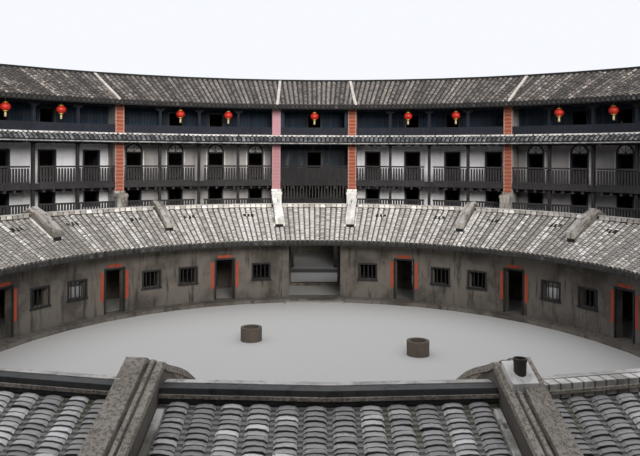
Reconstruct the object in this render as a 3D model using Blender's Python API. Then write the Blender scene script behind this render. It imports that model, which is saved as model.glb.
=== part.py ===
"""A double-ring earth roundhouse, modelled at half its real size.

The outer ring has four storeys behind a thick earth wall, and the inner ring
has one storey round an open courtyard. Sixteen radial party walls divide the
outer ring into twelve dwellings and four public bays: a hall, a main gate and
two side gates. Metres, +Z up, the origin at the centre of the courtyard.
"""

from math import cos, radians, sin, tan

import bmesh
import bpy
from mathutils import Vector

# Clearance that two touching pieces keep
GAP = 0.0003

# How the rings are divided
QUADRANTS = ("north_east", "north_west", "south_west", "south_east")
PUBLIC_BAYS = ("east_gate_bay", "hall_bay", "west_gate_bay", "main_gate_bay")
DWELLINGS_PER_QUADRANT = 3
BAYS_PER_DWELLING = 4
BAYS_PER_PUBLIC = 2
INNER_PUBLIC_ANGLE = radians(16.0)
INNER_BAYS_PER_DWELLING = 3
INNER_BAYS_PER_PUBLIC = 2

# Outer ring in plan, from the outside in
OUTER_RADIUS = 18.25
EARTH_WALL = 1.25
EARTH_WALL_BATTER = 0.20
ROOM_DEPTH = 3.70
FRONT_WALL = 0.20
GALLERY_WIDTH = 0.85
PARTY_WALL = 0.30

# Outer ring in height
FIRST_STOREY = 2.10
SECOND_STOREY = 1.15
THIRD_STOREY = 1.55
FOURTH_STOREY = 1.00
FLOOR = 0.16
PURLIN_WIDTH = 0.18
PURLIN_DEPTH = 0.19
PURLIN_SETBACK = 0.02

# Gallery posts and rails
POST = 0.13
POST_SETBACK = 0.05
RAIL = 0.03
RAIL_SETBACK = 0.01
SECOND_RAIL_HEIGHT = 0.55
THIRD_RAIL_HEIGHT = 0.58
FOURTH_RAIL_HEIGHT = 0.40

# Doors and windows of the room fronts, bay by bay on each storey of a dwelling
DOOR_WIDTH = 0.46
DOOR_HEIGHT = 0.84
TALL_DOOR_WIDTH = 0.50
TALL_DOOR_HEIGHT = 1.02
ARCHED_DOOR_HEIGHT = 1.26
WINDOW_WIDTH = 0.44
WINDOW_HEIGHT = 0.44
WINDOW_SILL = 0.38
THRESHOLD = 0.04
ARCH_STEPS = 6
DWELLING_OPENINGS = (
    ("window", "door", "door", "window"),
    ("tall door", "tall door", "tall door", "tall door"),
    (None, "door", "door", None),
)
PUBLIC_OPENINGS = (("door",), ("tall door",), ("door",))

# Main roof
ROOF = 0.14
RIDGE_SETBACK = 3.00
COURT_PITCH = 0.35
OUTER_PITCH = 0.42
COURT_EAVE = 0.50
OUTER_EAVE = 0.85
RIDGE_CAP_WIDTH = 0.24
RIDGE_CAP_HEIGHT = 0.06

# Skirt roof along the fourth gallery
SKIRT_REACH = 0.40
SKIRT_RISE = 0.10
SKIRT_DROP = 0.25
SKIRT_BACK = 0.20
SKIRT_EDGE = 0.07

# Party walls below the galleries
SKYWELL_WIDTH = 2.60
SKYWELL_WALL_CLEARANCE = 0.08
PIER_FOOT_REACH = 0.35
PIER_FOOT_HEIGHT = 2.87
KERB_WIDTH = 0.25
KERB_HEIGHT = 0.10

# Gates and small windows of the earth wall
MAIN_GATE_WIDTH = 0.95
MAIN_GATE_HEIGHT = 1.50
SIDE_GATE_WIDTH = 0.75
SIDE_GATE_HEIGHT = 1.30
LOOKOUT_WIDTH = 0.26
LOOKOUT_HEIGHT = 0.40
LOOKOUT_SILL = 0.35
LOOKOUT_BAYS = (0, 2)

# Inner ring in plan and height
INNER_DEPTH = 2.30
INNER_WALL = 0.20
INNER_WALL_HEIGHT = 1.97
PLATFORM_WIDTH = 0.40
PLATFORM_HEIGHT = 0.09
INNER_DOOR_WIDTH = 0.50
INNER_DOOR_HEIGHT = 1.12
INNER_WINDOW_WIDTH = 0.46
INNER_WINDOW_HEIGHT = 0.42
INNER_WINDOW_SILL = 0.62
HALL_FRONT_WIDTH = 1.50
HALL_FRONT_HEIGHT = 1.60
HALL_STEP_INSET = 0.12
HALL_STEP_DEPTH = 0.22
HALL_STEP_HEIGHT = 0.045

# Inner roof and the firewalls that rise through it
INNER_ROOF = 0.12
INNER_RIDGE_SETBACK = 1.00
INNER_COURT_PITCH = 0.54
INNER_BACK_PITCH = 0.54
INNER_COURT_EAVE = 0.60
INNER_BACK_EAVE = 0.35
INNER_CAP_WIDTH = 0.12
INNER_CAP_HEIGHT = 0.09
FIREWALL = 0.23
FIREWALL_START = 0.05
FIREWALL_TOE_RISE = 0.10
FIREWALL_RISE = 0.22
FIREWALL_CROWN = 0.16
FIREWALL_CORBEL = 0.15

# Courtyard wells and the chimney pot
WELL_OUTER_RADIUS = 0.24
WELL_INNER_RADIUS = 0.17
WELL_HEIGHT = 0.30
WELL_SIDES = 20
LEFT_WELL = (-1.45, 2.90)
RIGHT_WELL = (2.15, 1.78)
CHIMNEY_SETBACK = 0.13
CHIMNEY_BASE = 0.17
CHIMNEY_BASE_HEIGHT = 0.055
CHIMNEY_RADIUS = 0.042
CHIMNEY_HEIGHT = 0.085
CHIMNEY_SIDES = 12

# Derived plan radii of the outer ring
EARTH_INNER = OUTER_RADIUS - EARTH_WALL
ROOM_INNER = EARTH_INNER - ROOM_DEPTH
FRONT_INNER = ROOM_INNER - FRONT_WALL
GALLERY_EDGE = FRONT_INNER - GALLERY_WIDTH

# Derived plan radii of the inner ring
INNER_BACK = GALLERY_EDGE - SKYWELL_WIDTH
INNER_FRONT = INNER_BACK - INNER_DEPTH

# Derived angles
QUARTER = radians(90.0)
BAYS_PER_QUADRANT = BAYS_PER_PUBLIC + DWELLINGS_PER_QUADRANT * BAYS_PER_DWELLING
BAY = QUARTER / BAYS_PER_QUADRANT
PUBLIC_ANGLE = BAYS_PER_PUBLIC * BAY
DWELLING_ANGLE = BAYS_PER_DWELLING * BAY
INNER_DWELLING_ANGLE = (QUARTER - INNER_PUBLIC_ANGLE) / DWELLINGS_PER_QUADRANT

# Derived heights of the outer ring
FLOORS = (
    FIRST_STOREY,
    FIRST_STOREY + SECOND_STOREY,
    FIRST_STOREY + SECOND_STOREY + THIRD_STOREY,
)
RAIL_HEIGHTS = (SECOND_RAIL_HEIGHT, THIRD_RAIL_HEIGHT, FOURTH_RAIL_HEIGHT)
PURLIN_BOTTOM = FLOORS[2] + FOURTH_STOREY
PURLIN_TOP = PURLIN_BOTTOM + PURLIN_DEPTH
RIDGE_RADIUS = GALLERY_EDGE + RIDGE_SETBACK
CHORD_HALF = PUBLIC_ANGLE / 2
PURLIN_LEAST = (GALLERY_EDGE + PURLIN_SETBACK) * cos(CHORD_HALF)
RIDGE_UNDERSIDE = PURLIN_TOP + GAP + (RIDGE_RADIUS - PURLIN_LEAST) * COURT_PITCH

# Derived heights of the inner ring
INNER_RIDGE_RADIUS = INNER_FRONT + INNER_RIDGE_SETBACK
INNER_RIDGE_UNDERSIDE = INNER_WALL_HEIGHT + GAP + INNER_RIDGE_SETBACK * INNER_COURT_PITCH
INNER_BACK_HEIGHT = INNER_RIDGE_UNDERSIDE - (INNER_BACK - INNER_RIDGE_RADIUS) * INNER_BACK_PITCH - GAP
FIREWALL_END = INNER_BACK + INNER_BACK_EAVE
CORBEL_HEIGHT = (
    INNER_RIDGE_UNDERSIDE - (FIREWALL_END - INNER_RIDGE_RADIUS) * INNER_BACK_PITCH - FIREWALL_CORBEL
)
CORBEL_FOOT = CORBEL_HEIGHT - INNER_BACK_EAVE
SKYWELL_WALL_HEIGHT = CORBEL_FOOT - SKYWELL_WALL_CLEARANCE

# How far joined pieces reach into each other, and how far cutters run past what they cut
BITE = 0.04
OVERCUT = 0.20


def clear_scene():
    for old in list(bpy.data.objects):
        bpy.data.objects.remove(old, do_unlink=True)


def make_material(name, colour, roughness, metallic=0.0):
    material = bpy.data.materials.new(name)
    material.use_nodes = True
    shader = material.node_tree.nodes["Principled BSDF"]
    shader.inputs["Base Color"].default_value = (*colour, 1.0)
    shader.inputs["Roughness"].default_value = roughness
    shader.inputs["Metallic"].default_value = metallic
    return material


def link_mesh(name, bm, collection):
    """Puts a closed bmesh into the scene with its faces outwards."""
    bmesh.ops.recalc_face_normals(bm, faces=bm.faces)
    mesh = bpy.data.meshes.new(name)
    bm.to_mesh(mesh)
    bm.free()
    obj = bpy.data.objects.new(name, mesh)
    collection.objects.link(obj)
    return obj


def loft(name, sections, collection):
    """Joins a row of like point loops into one closed solid."""
    bm = bmesh.new()
    rows = [[bm.verts.new(point) for point in section] for section in sections]
    count = len(rows[0])
    for first, second in zip(rows, rows[1:]):
        for i in range(count):
            j = (i + 1) % count
            bm.faces.new((first[i], first[j], second[j], second[i]))
    bm.faces.new(rows[0])
    bm.faces.new(list(reversed(rows[-1])))
    return link_mesh(name, bm, collection)


def prism(name, plan, low, high, collection):
    """A plan outline raised from one height to another."""
    sections = [[(x, y, z) for x, y in plan] for z in (low, high)]
    return loft(name, sections, collection)


def sweep(name, profile, angles, collection):
    """A profile of (radius, height) points turned through the given angles."""
    sections = [
        [(radius * cos(angle), radius * sin(angle), height) for radius, height in profile]
        for angle in angles
    ]
    return loft(name, sections, collection)


def radial_slab(name, profile, angle, thickness, collection):
    """A profile of (radius, height) points given a thickness across a radial line."""
    along = Vector((cos(angle), sin(angle), 0.0))
    across = Vector((-sin(angle), cos(angle), 0.0))
    up = Vector((0.0, 0.0, 1.0))
    sections = [
        [along * radius + across * side + up * height for radius, height in profile]
        for side in (-thickness / 2, thickness / 2)
    ]
    return loft(name, sections, collection)


def radial_bar(name, outline, angle, near, far, collection):
    """An outline of (across, height) points run from one radius to another."""
    along = Vector((cos(angle), sin(angle), 0.0))
    across = Vector((-sin(angle), cos(angle), 0.0))
    up = Vector((0.0, 0.0, 1.0))
    sections = [
        [along * radius + across * side + up * height for side, height in outline]
        for radius in (near, far)
    ]
    return loft(name, sections, collection)


def square_outline(width, low, high):
    half = width / 2
    return [(-half, low), (half, low), (half, high), (-half, high)]


def arched_outline(width, low, high):
    """A rectangle with a half-round head, whose crown is at the given height."""
    half = width / 2
    spring = high - half
    outline = [(-half, low), (half, low)]
    for step in range(ARCH_STEPS + 1):
        turn = radians(180.0) * step / ARCH_STEPS
        outline.append((half * cos(turn), spring + half * sin(turn)))
    return outline


def helper_group(name):
    group = bpy.data.collections.new(name)
    bpy.context.scene.collection.children.link(group)
    return group


def hide_helpers(group):
    for helper in group.objects:
        helper.hide_render = True
        helper.display_type = "WIRE"


def combine(obj, group, operation):
    """Joins to an object, or cuts from it, every helper of a group."""
    if not group.objects:
        return
    hide_helpers(group)
    modifier = obj.modifiers.new(operation.title(), "BOOLEAN")
    modifier.operation = operation
    modifier.solver = "EXACT"
    modifier.operand_type = "COLLECTION"
    modifier.collection = group


def finish(obj, material):
    obj.data.materials.append(material)
    return obj


def on_chord(radius, corner, neighbour, offset):
    """The point on a chord that lies this far across from its corner's radial line."""
    share = offset / (radius * sin(abs(neighbour - corner)))
    start = Vector((radius * cos(corner), radius * sin(corner)))
    end = Vector((radius * cos(neighbour), radius * sin(neighbour)))
    return tuple(start + (end - start) * share)


def chain(radius, angles, start_offset, end_offset):
    """A row of chords whose ends are cut beside their radial lines."""
    points = [on_chord(radius, angles[0], angles[1], start_offset)]
    points += [(radius * cos(angle), radius * sin(angle)) for angle in angles[1:-1]]
    points.append(on_chord(radius, angles[-1], angles[-2], end_offset))
    return points


def band_plan(near, far, angles, start_offset, end_offset, far_angles=None):
    """The plan of a band between two radii, with its own corners along the far side if given."""
    inner = chain(near, angles, start_offset, end_offset)
    outer = chain(far, far_angles or angles, start_offset, end_offset)
    return inner + outer[::-1]


def turned(start, step, count):
    return [start + step * i for i in range(count + 1)]


def court_underside(radius):
    return RIDGE_UNDERSIDE - (RIDGE_RADIUS - radius) * COURT_PITCH


def outer_underside(radius):
    return RIDGE_UNDERSIDE - (radius - RIDGE_RADIUS) * OUTER_PITCH


def inner_court_underside(radius):
    return INNER_RIDGE_UNDERSIDE - (INNER_RIDGE_RADIUS - radius) * INNER_COURT_PITCH


def inner_back_underside(radius):
    return INNER_RIDGE_UNDERSIDE - (radius - INNER_RIDGE_RADIUS) * INNER_BACK_PITCH


def roof_profile(near, far, ridge, under_near, under_far, thickness, cap_width, cap_height):
    """A ridged roof with upright eave edges and a raised ridge."""
    half = cap_width / 2
    top = under_near(ridge) + thickness
    return [
        (near, under_near(near)),
        (ridge, under_near(ridge)),
        (far, under_far(far)),
        (far, under_far(far) + thickness),
        (ridge + half, under_far(ridge + half) + thickness),
        (ridge + half, top + cap_height),
        (ridge - half, top + cap_height),
        (ridge - half, under_near(ridge - half) + thickness),
        (near, under_near(near) + thickness),
    ]


def trim_ends(angles, least_radius):
    """Leaves half the gap at either end of one quadrant's row of facets."""
    sliver = GAP / 2 / least_radius
    return [angles[0] + sliver, *angles[1:-1], angles[-1] - sliver]


def gate_size(quadrant):
    if PUBLIC_BAYS[quadrant] == "main_gate_bay":
        return MAIN_GATE_WIDTH, MAIN_GATE_HEIGHT
    return SIDE_GATE_WIDTH, SIDE_GATE_HEIGHT


def build_earth_wall(quadrant, material):
    """The thick outer wall of one quadrant with its gate and its small upper windows."""
    start = quadrant * QUARTER - PUBLIC_ANGLE / 2
    name = "earth_wall_" + QUADRANTS[quadrant]
    top_radius = OUTER_RADIUS - EARTH_WALL_BATTER
    top = outer_underside(top_radius) - GAP
    profile = [(EARTH_INNER, 0.0), (OUTER_RADIUS, 0.0), (top_radius, top), (EARTH_INNER, top)]
    angles = trim_ends(turned(start, BAY, BAYS_PER_QUADRANT), EARTH_INNER)
    wall = sweep(name, profile, angles, bpy.context.scene.collection)
    cutters = helper_group(name + "_cutters")
    near = EARTH_INNER - OVERCUT
    far = OUTER_RADIUS + OVERCUT
    if PUBLIC_BAYS[quadrant] != "hall_bay":
        width, height = gate_size(quadrant)
        outline = arched_outline(width, -OVERCUT, height)
        radial_bar(name + "_gate", outline, quadrant * QUARTER, near, far, cutters)
    sill = FLOORS[2] + LOOKOUT_SILL
    outline = square_outline(LOOKOUT_WIDTH, sill, sill + LOOKOUT_HEIGHT)
    for dwelling in range(DWELLINGS_PER_QUADRANT):
        for bay in LOOKOUT_BAYS:
            angle = start + PUBLIC_ANGLE + dwelling * DWELLING_ANGLE + (bay + 0.5) * BAY
            radial_bar(name + "_lookout", outline, angle, near, far, cutters)
    combine(wall, cutters, "DIFFERENCE")
    return finish(wall, material)


def build_party_walls(quadrant, material):
    """Four radial walls, which end in piers at the gallery and stand on one kerb."""
    start = quadrant * QUARTER - PUBLIC_ANGLE / 2
    lines = [start, *turned(start + PUBLIC_ANGLE, DWELLING_ANGLE, DWELLINGS_PER_QUADRANT - 1)]
    name = "party_walls_" + QUADRANTS[quadrant]
    half = PARTY_WALL / 2
    seat = half * tan(BAY / 2) * OUTER_PITCH + GAP
    far = EARTH_INNER - half * tan(BAY / 2) - GAP
    turns = [abs(line - firewall) for line, firewall in zip(lines, firewall_lines(quadrant))]
    near = max(INNER_BACK * cos(turn) + FIREWALL / 2 * sin(turn) for turn in turns) + GAP
    foot = GALLERY_EDGE - PIER_FOOT_REACH
    profile = [
        (near, 0.0),
        (far, 0.0),
        (far, outer_underside(far) - seat),
        (RIDGE_RADIUS, RIDGE_UNDERSIDE - seat),
        (GALLERY_EDGE, court_underside(GALLERY_EDGE) - seat),
        (GALLERY_EDGE, PIER_FOOT_HEIGHT),
        (foot, PIER_FOOT_HEIGHT),
        (foot, SKYWELL_WALL_HEIGHT),
        (near, SKYWELL_WALL_HEIGHT),
    ]
    angles = turned(start, PUBLIC_ANGLE, BAYS_PER_QUADRANT // BAYS_PER_PUBLIC)
    plan = band_plan(GALLERY_EDGE - KERB_WIDTH, GALLERY_EDGE - GAP, angles, -half, half + GAP)
    kerb = prism(name, plan, 0.0, KERB_HEIGHT, bpy.context.scene.collection)
    walls = helper_group(name + "_parts")
    for line in lines:
        radial_slab(name + "_wall", profile, line, PARTY_WALL, walls)
    combine(kerb, walls, "UNION")
    return finish(kerb, material)


def opening(kind, floor, arched):
    """The outline of one door or window above a floor."""
    if kind == "window":
        low = floor + WINDOW_SILL
        return square_outline(WINDOW_WIDTH, low, low + WINDOW_HEIGHT)
    low = floor + THRESHOLD
    if kind == "door":
        return square_outline(DOOR_WIDTH, low, low + DOOR_HEIGHT)
    if arched:
        return arched_outline(TALL_DOOR_WIDTH, low, low + ARCHED_DOOR_HEIGHT)
    return square_outline(TALL_DOOR_WIDTH, low, low + TALL_DOOR_HEIGHT)


def build_storeys(name, near_angles, far_angles, parts):
    """Floors, room front, rails and eave purlin between two party walls."""
    offset = PARTY_WALL / 2 + GAP
    front_top = court_underside(FRONT_INNER * cos(CHORD_HALF)) - GAP
    plan = band_plan(FRONT_INNER, ROOM_INNER, near_angles, offset, offset)
    front = prism(name, plan, 0.0, front_top, bpy.context.scene.collection)
    floor_plan = band_plan(GALLERY_EDGE, EARTH_INNER - GAP, near_angles, offset, offset, far_angles)
    rail_near = GALLERY_EDGE + RAIL_SETBACK
    rail_plan = band_plan(rail_near, rail_near + RAIL, near_angles, offset, offset)
    for level, height in zip(FLOORS, RAIL_HEIGHTS):
        prism(name + "_floor", floor_plan, level - FLOOR, level, parts)
        prism(name + "_rail", rail_plan, level - BITE, level + height, parts)
    purlin_near = GALLERY_EDGE + PURLIN_SETBACK
    plan = band_plan(purlin_near, purlin_near + PURLIN_WIDTH, near_angles, offset, offset)
    prism(name + "_purlin", plan, PURLIN_BOTTOM, PURLIN_TOP, parts)
    return front


def build_post(name, angle, middle, low, parts):
    """A square post behind the rail, on a chord's corner or at its middle."""
    radius = (GALLERY_EDGE + POST_SETBACK) * (cos(CHORD_HALF) if middle else 1.0) + POST / 2
    outline = square_outline(POST, low, PURLIN_BOTTOM + BITE)
    radial_bar(name + "_post", outline, angle, radius - POST / 2, radius + POST / 2, parts)


def cut_openings(obj, name, centres, storeys, arched, ground_outlines):
    """Cuts the doors and windows of each storey through the room front."""
    cutters = helper_group(name + "_cutters")
    near = FRONT_INNER - OVERCUT
    far = ROOM_INNER + OVERCUT
    for level, kinds in zip(FLOORS, storeys):
        for kind, angle in zip(kinds, centres):
            if kind:
                radial_bar(name + "_cutter", opening(kind, level, arched), angle, near, far, cutters)
    for angle, outline in ground_outlines:
        radial_bar(name + "_cutter", outline, angle, near, far, cutters)
    combine(obj, cutters, "DIFFERENCE")


def build_dwelling(number, material):
    """One dwelling of four bays: floors, room fronts, posts and rails on four storeys."""
    quadrant, place = divmod(number - 1, DWELLINGS_PER_QUADRANT)
    start = quadrant * QUARTER + PUBLIC_ANGLE / 2 + place * DWELLING_ANGLE
    name = f"dwelling_{number:02d}"
    parts = helper_group(name + "_parts")
    near_angles = turned(start, DWELLING_ANGLE / 2, 2)
    far_angles = turned(start, BAY, BAYS_PER_DWELLING)
    front = build_storeys(name, near_angles, far_angles, parts)
    for i in range(1, BAYS_PER_DWELLING):
        build_post(name, start + i * BAY, i % 2 == 1, 0.0, parts)
    combine(front, parts, "UNION")
    centres = [start + (i + 0.5) * BAY for i in range(BAYS_PER_DWELLING)]
    door = square_outline(DOOR_WIDTH, -OVERCUT, THRESHOLD + DOOR_HEIGHT)
    ground = [(centres[1], door)]
    cut_openings(front, name, centres, DWELLING_OPENINGS, number % 2 == 0, ground)
    return finish(front, material)


def build_public_bay(quadrant, material):
    """The hall bay or a gate bay: floors, fronts and rails between two party walls."""
    centre = quadrant * QUARTER
    name = PUBLIC_BAYS[quadrant]
    parts = helper_group(name + "_parts")
    near_angles = turned(centre - PUBLIC_ANGLE / 2, PUBLIC_ANGLE, 1)
    far_angles = turned(centre - PUBLIC_ANGLE / 2, BAY, BAYS_PER_PUBLIC)
    front = build_storeys(name, near_angles, far_angles, parts)
    for side in (-1, 1):
        reach = (PARTY_WALL / 2 + GAP + POST / 2) / GALLERY_EDGE
        build_post(name, centre + side * (PUBLIC_ANGLE / 2 - reach), False, FLOORS[2] - BITE, parts)
    combine(front, parts, "UNION")
    if name == "hall_bay":
        width, height = HALL_FRONT_WIDTH, HALL_FRONT_HEIGHT
    else:
        width, height = gate_size(quadrant)
    ground = [(centre, square_outline(width, -OVERCUT, height))]
    cut_openings(front, name, [centre], PUBLIC_OPENINGS, False, ground)
    return finish(front, material)


def build_main_roof(quadrant, material):
    """The ridged main roof over one quadrant of the outer ring."""
    start = quadrant * QUARTER - PUBLIC_ANGLE / 2
    near = GALLERY_EDGE - COURT_EAVE
    far = OUTER_RADIUS + OUTER_EAVE
    profile = roof_profile(
        near, far, RIDGE_RADIUS, court_underside, outer_underside, ROOF, RIDGE_CAP_WIDTH, RIDGE_CAP_HEIGHT
    )
    angles = trim_ends(turned(start, BAY, BAYS_PER_QUADRANT), near)
    roof = sweep("main_roof_" + QUADRANTS[quadrant], profile, angles, bpy.context.scene.collection)
    return finish(roof, material)


def build_skirt_roof(quadrant, material):
    """The narrow tiled skirt below the fourth gallery's rail, which passes the piers."""
    start = quadrant * QUARTER - PUBLIC_ANGLE / 2
    near = GALLERY_EDGE - SKIRT_REACH
    far = GALLERY_EDGE - GAP
    top = FLOORS[2] + SKIRT_RISE
    profile = [
        (near, top - SKIRT_DROP - SKIRT_EDGE),
        (far, top - SKIRT_BACK),
        (far, top),
        (near, top - SKIRT_DROP),
    ]
    angles = trim_ends(turned(start, PUBLIC_ANGLE, BAYS_PER_QUADRANT // BAYS_PER_PUBLIC), near)
    roof = sweep("skirt_roof_" + QUADRANTS[quadrant], profile, angles, bpy.context.scene.collection)
    return finish(roof, material)


def inner_angles(quadrant):
    """The corners of the inner ring's facets in one quadrant."""
    start = quadrant * QUARTER - INNER_PUBLIC_ANGLE / 2
    public_step = INNER_PUBLIC_ANGLE / INNER_BAYS_PER_PUBLIC
    dwelling_step = INNER_DWELLING_ANGLE / INNER_BAYS_PER_DWELLING
    dwellings = DWELLINGS_PER_QUADRANT * INNER_BAYS_PER_DWELLING
    public = turned(start, public_step, INNER_BAYS_PER_PUBLIC)
    return public + turned(public[-1], dwelling_step, dwellings)[1:]


def firewall_lines(quadrant):
    start = quadrant * QUARTER - INNER_PUBLIC_ANGLE / 2
    first = start + INNER_PUBLIC_ANGLE
    return [start, *turned(first, INNER_DWELLING_ANGLE, DWELLINGS_PER_QUADRANT - 1)]


def firewall_back_top(radius):
    return inner_back_underside(radius) + INNER_ROOF + FIREWALL_RISE


def firewall_profile():
    """A firewall's outline, which rises from a low toe over the court to a crown above the ridge."""
    toe = INNER_FRONT + FIREWALL_START
    crown_start = INNER_RIDGE_RADIUS - FIREWALL_CROWN / 2
    crown_end = INNER_RIDGE_RADIUS + FIREWALL_CROWN / 2
    return [
        (INNER_FRONT, 0.0),
        (INNER_BACK, 0.0),
        (INNER_BACK, CORBEL_FOOT),
        (FIREWALL_END, CORBEL_HEIGHT),
        (FIREWALL_END, firewall_back_top(FIREWALL_END)),
        (crown_end, firewall_back_top(crown_end)),
        (INNER_RIDGE_RADIUS, firewall_back_top(INNER_RIDGE_RADIUS)),
        (crown_start, firewall_back_top(crown_end)),
        (toe, inner_court_underside(toe) + INNER_ROOF + FIREWALL_TOE_RISE),
        (toe, inner_court_underside(toe) - GAP),
        (INNER_FRONT, INNER_WALL_HEIGHT),
    ]


def inner_openings(quadrant, group, name):
    """Cutters for the doors and windows of the inner ring."""
    angles = inner_angles(quadrant)
    near = INNER_FRONT - OVERCUT
    mid = INNER_FRONT + INNER_DEPTH / 2
    far = INNER_BACK + OVERCUT
    if PUBLIC_BAYS[quadrant] == "hall_bay":
        outline = square_outline(HALL_FRONT_WIDTH, PLATFORM_HEIGHT, HALL_FRONT_HEIGHT)
    else:
        width, height = gate_size(quadrant)
        outline = square_outline(width, PLATFORM_HEIGHT, height)
    radial_bar(name + "_cutter", outline, quadrant * QUARTER, near, far, group)
    door = square_outline(INNER_DOOR_WIDTH, PLATFORM_HEIGHT, PLATFORM_HEIGHT + INNER_DOOR_HEIGHT)
    top = INNER_WINDOW_SILL + INNER_WINDOW_HEIGHT
    window = square_outline(INNER_WINDOW_WIDTH, INNER_WINDOW_SILL, top)
    facets = list(zip(angles, angles[1:]))[INNER_BAYS_PER_PUBLIC:]
    for i, (first, second) in enumerate(facets):
        middle = i % INNER_BAYS_PER_DWELLING == INNER_BAYS_PER_DWELLING // 2
        outline = door if middle else window
        reach = far if middle else mid
        radial_bar(name + "_cutter", outline, (first + second) / 2, near, reach, group)


def build_inner_walls(quadrant, material):
    """The inner ring's front and back walls, its firewalls and the platform they stand on."""
    name = "inner_walls_" + QUADRANTS[quadrant]
    angles = inner_angles(quadrant)
    half = FIREWALL / 2
    plan = band_plan(INNER_FRONT, INNER_FRONT + INNER_WALL, angles, -half + BITE, half + GAP)
    front = prism(name, plan, 0.0, INNER_WALL_HEIGHT, bpy.context.scene.collection)
    parts = helper_group(name + "_parts")
    plan = band_plan(INNER_BACK - INNER_WALL, INNER_BACK, angles, -half + BITE, half + GAP)
    prism(name + "_back", plan, 0.0, INNER_BACK_HEIGHT, parts)
    platform = INNER_FRONT - PLATFORM_WIDTH
    plan = band_plan(platform, INNER_FRONT + INNER_WALL / 2, angles, -half, half + GAP)
    prism(name + "_platform", plan, 0.0, PLATFORM_HEIGHT, parts)
    for line in firewall_lines(quadrant):
        radial_slab(name + "_firewall", firewall_profile(), line, FIREWALL, parts)
    combine(front, parts, "UNION")
    cutters = helper_group(name + "_cutters")
    inner_openings(quadrant, cutters, name)
    combine(front, cutters, "DIFFERENCE")
    return finish(front, material)


def build_inner_roof(quadrant, material):
    """The inner ring's ridged roof, slotted where the firewalls rise through it."""
    name = "inner_roof_" + QUADRANTS[quadrant]
    near = INNER_FRONT - INNER_COURT_EAVE
    profile = roof_profile(
        near,
        FIREWALL_END,
        INNER_RIDGE_RADIUS,
        inner_court_underside,
        inner_back_underside,
        INNER_ROOF,
        INNER_CAP_WIDTH,
        INNER_CAP_HEIGHT,
    )
    roof = sweep(name, profile, trim_ends(inner_angles(quadrant), near), bpy.context.scene.collection)
    slots = helper_group(name + "_slots")
    cap_top = INNER_RIDGE_UNDERSIDE + INNER_ROOF + INNER_CAP_HEIGHT
    outline = square_outline(FIREWALL + 2 * GAP, 0.0, cap_top + OVERCUT)
    next_line = (quadrant + 1) * QUARTER - INNER_PUBLIC_ANGLE / 2
    for line in [*firewall_lines(quadrant), next_line]:
        first = INNER_FRONT + FIREWALL_START - GAP
        radial_bar(name + "_slot", outline, line, first, FIREWALL_END + OVERCUT, slots)
    combine(roof, slots, "DIFFERENCE")
    return finish(roof, material)


def build_well(name, place, material):
    """A round stone curb, open right through."""
    bm = bmesh.new()
    loops = []
    for radius, height in (
        (WELL_OUTER_RADIUS, 0.0),
        (WELL_OUTER_RADIUS, WELL_HEIGHT),
        (WELL_INNER_RADIUS, WELL_HEIGHT),
        (WELL_INNER_RADIUS, 0.0),
    ):
        turn = [radians(360.0) * i / WELL_SIDES for i in range(WELL_SIDES)]
        loops.append([bm.verts.new((radius * cos(a), radius * sin(a), height)) for a in turn])
    for first, second in zip(loops, loops[1:] + loops[:1]):
        for i in range(WELL_SIDES):
            j = (i + 1) % WELL_SIDES
            bm.faces.new((first[i], first[j], second[j], second[i]))
    well = link_mesh(name, bm, bpy.context.scene.collection)
    well.location = (place[0], place[1], 0.0)
    return finish(well, material)


def build_hall_step(material):
    """The flat step in front of the hall, which follows the platform's edge."""
    far = INNER_FRONT - PLATFORM_WIDTH - GAP
    angles = inner_angles(PUBLIC_BAYS.index("hall_bay"))[: INNER_BAYS_PER_PUBLIC + 1]
    plan = band_plan(far - HALL_STEP_DEPTH, far, angles, HALL_STEP_INSET, HALL_STEP_INSET)
    step = prism("hall_step", plan, 0.0, HALL_STEP_HEIGHT, bpy.context.scene.collection)
    return finish(step, material)


def build_chimney(material):
    """A clay pot on a plastered saddle, seated on the firewall's slope beside the main gate."""
    line = PUBLIC_BAYS.index("main_gate_bay") * QUARTER + INNER_PUBLIC_ANGLE / 2
    middle = INNER_RIDGE_RADIUS + CHIMNEY_SETBACK
    near = middle - CHIMNEY_BASE / 2
    far = middle + CHIMNEY_BASE / 2
    profile = [
        (near, firewall_back_top(near) + GAP),
        (far, firewall_back_top(far) + GAP),
        (far, firewall_back_top(far) + CHIMNEY_BASE_HEIGHT),
        (near, firewall_back_top(near) + CHIMNEY_BASE_HEIGHT),
    ]
    base = radial_slab("chimney_pot", profile, line, CHIMNEY_BASE, bpy.context.scene.collection)
    parts = helper_group("chimney_pot_parts")
    plan = []
    for side in turned(0.0, radians(360.0) / CHIMNEY_SIDES, CHIMNEY_SIDES - 1):
        x = middle * cos(line) + CHIMNEY_RADIUS * cos(side)
        y = middle * sin(line) + CHIMNEY_RADIUS * sin(side)
        plan.append((x, y))
    top = firewall_back_top(middle) + CHIMNEY_BASE_HEIGHT
    prism("chimney_pot_tube", plan, top - CHIMNEY_BASE_HEIGHT / 2, top + CHIMNEY_HEIGHT, parts)
    combine(base, parts, "UNION")
    return finish(base, material)


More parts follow.
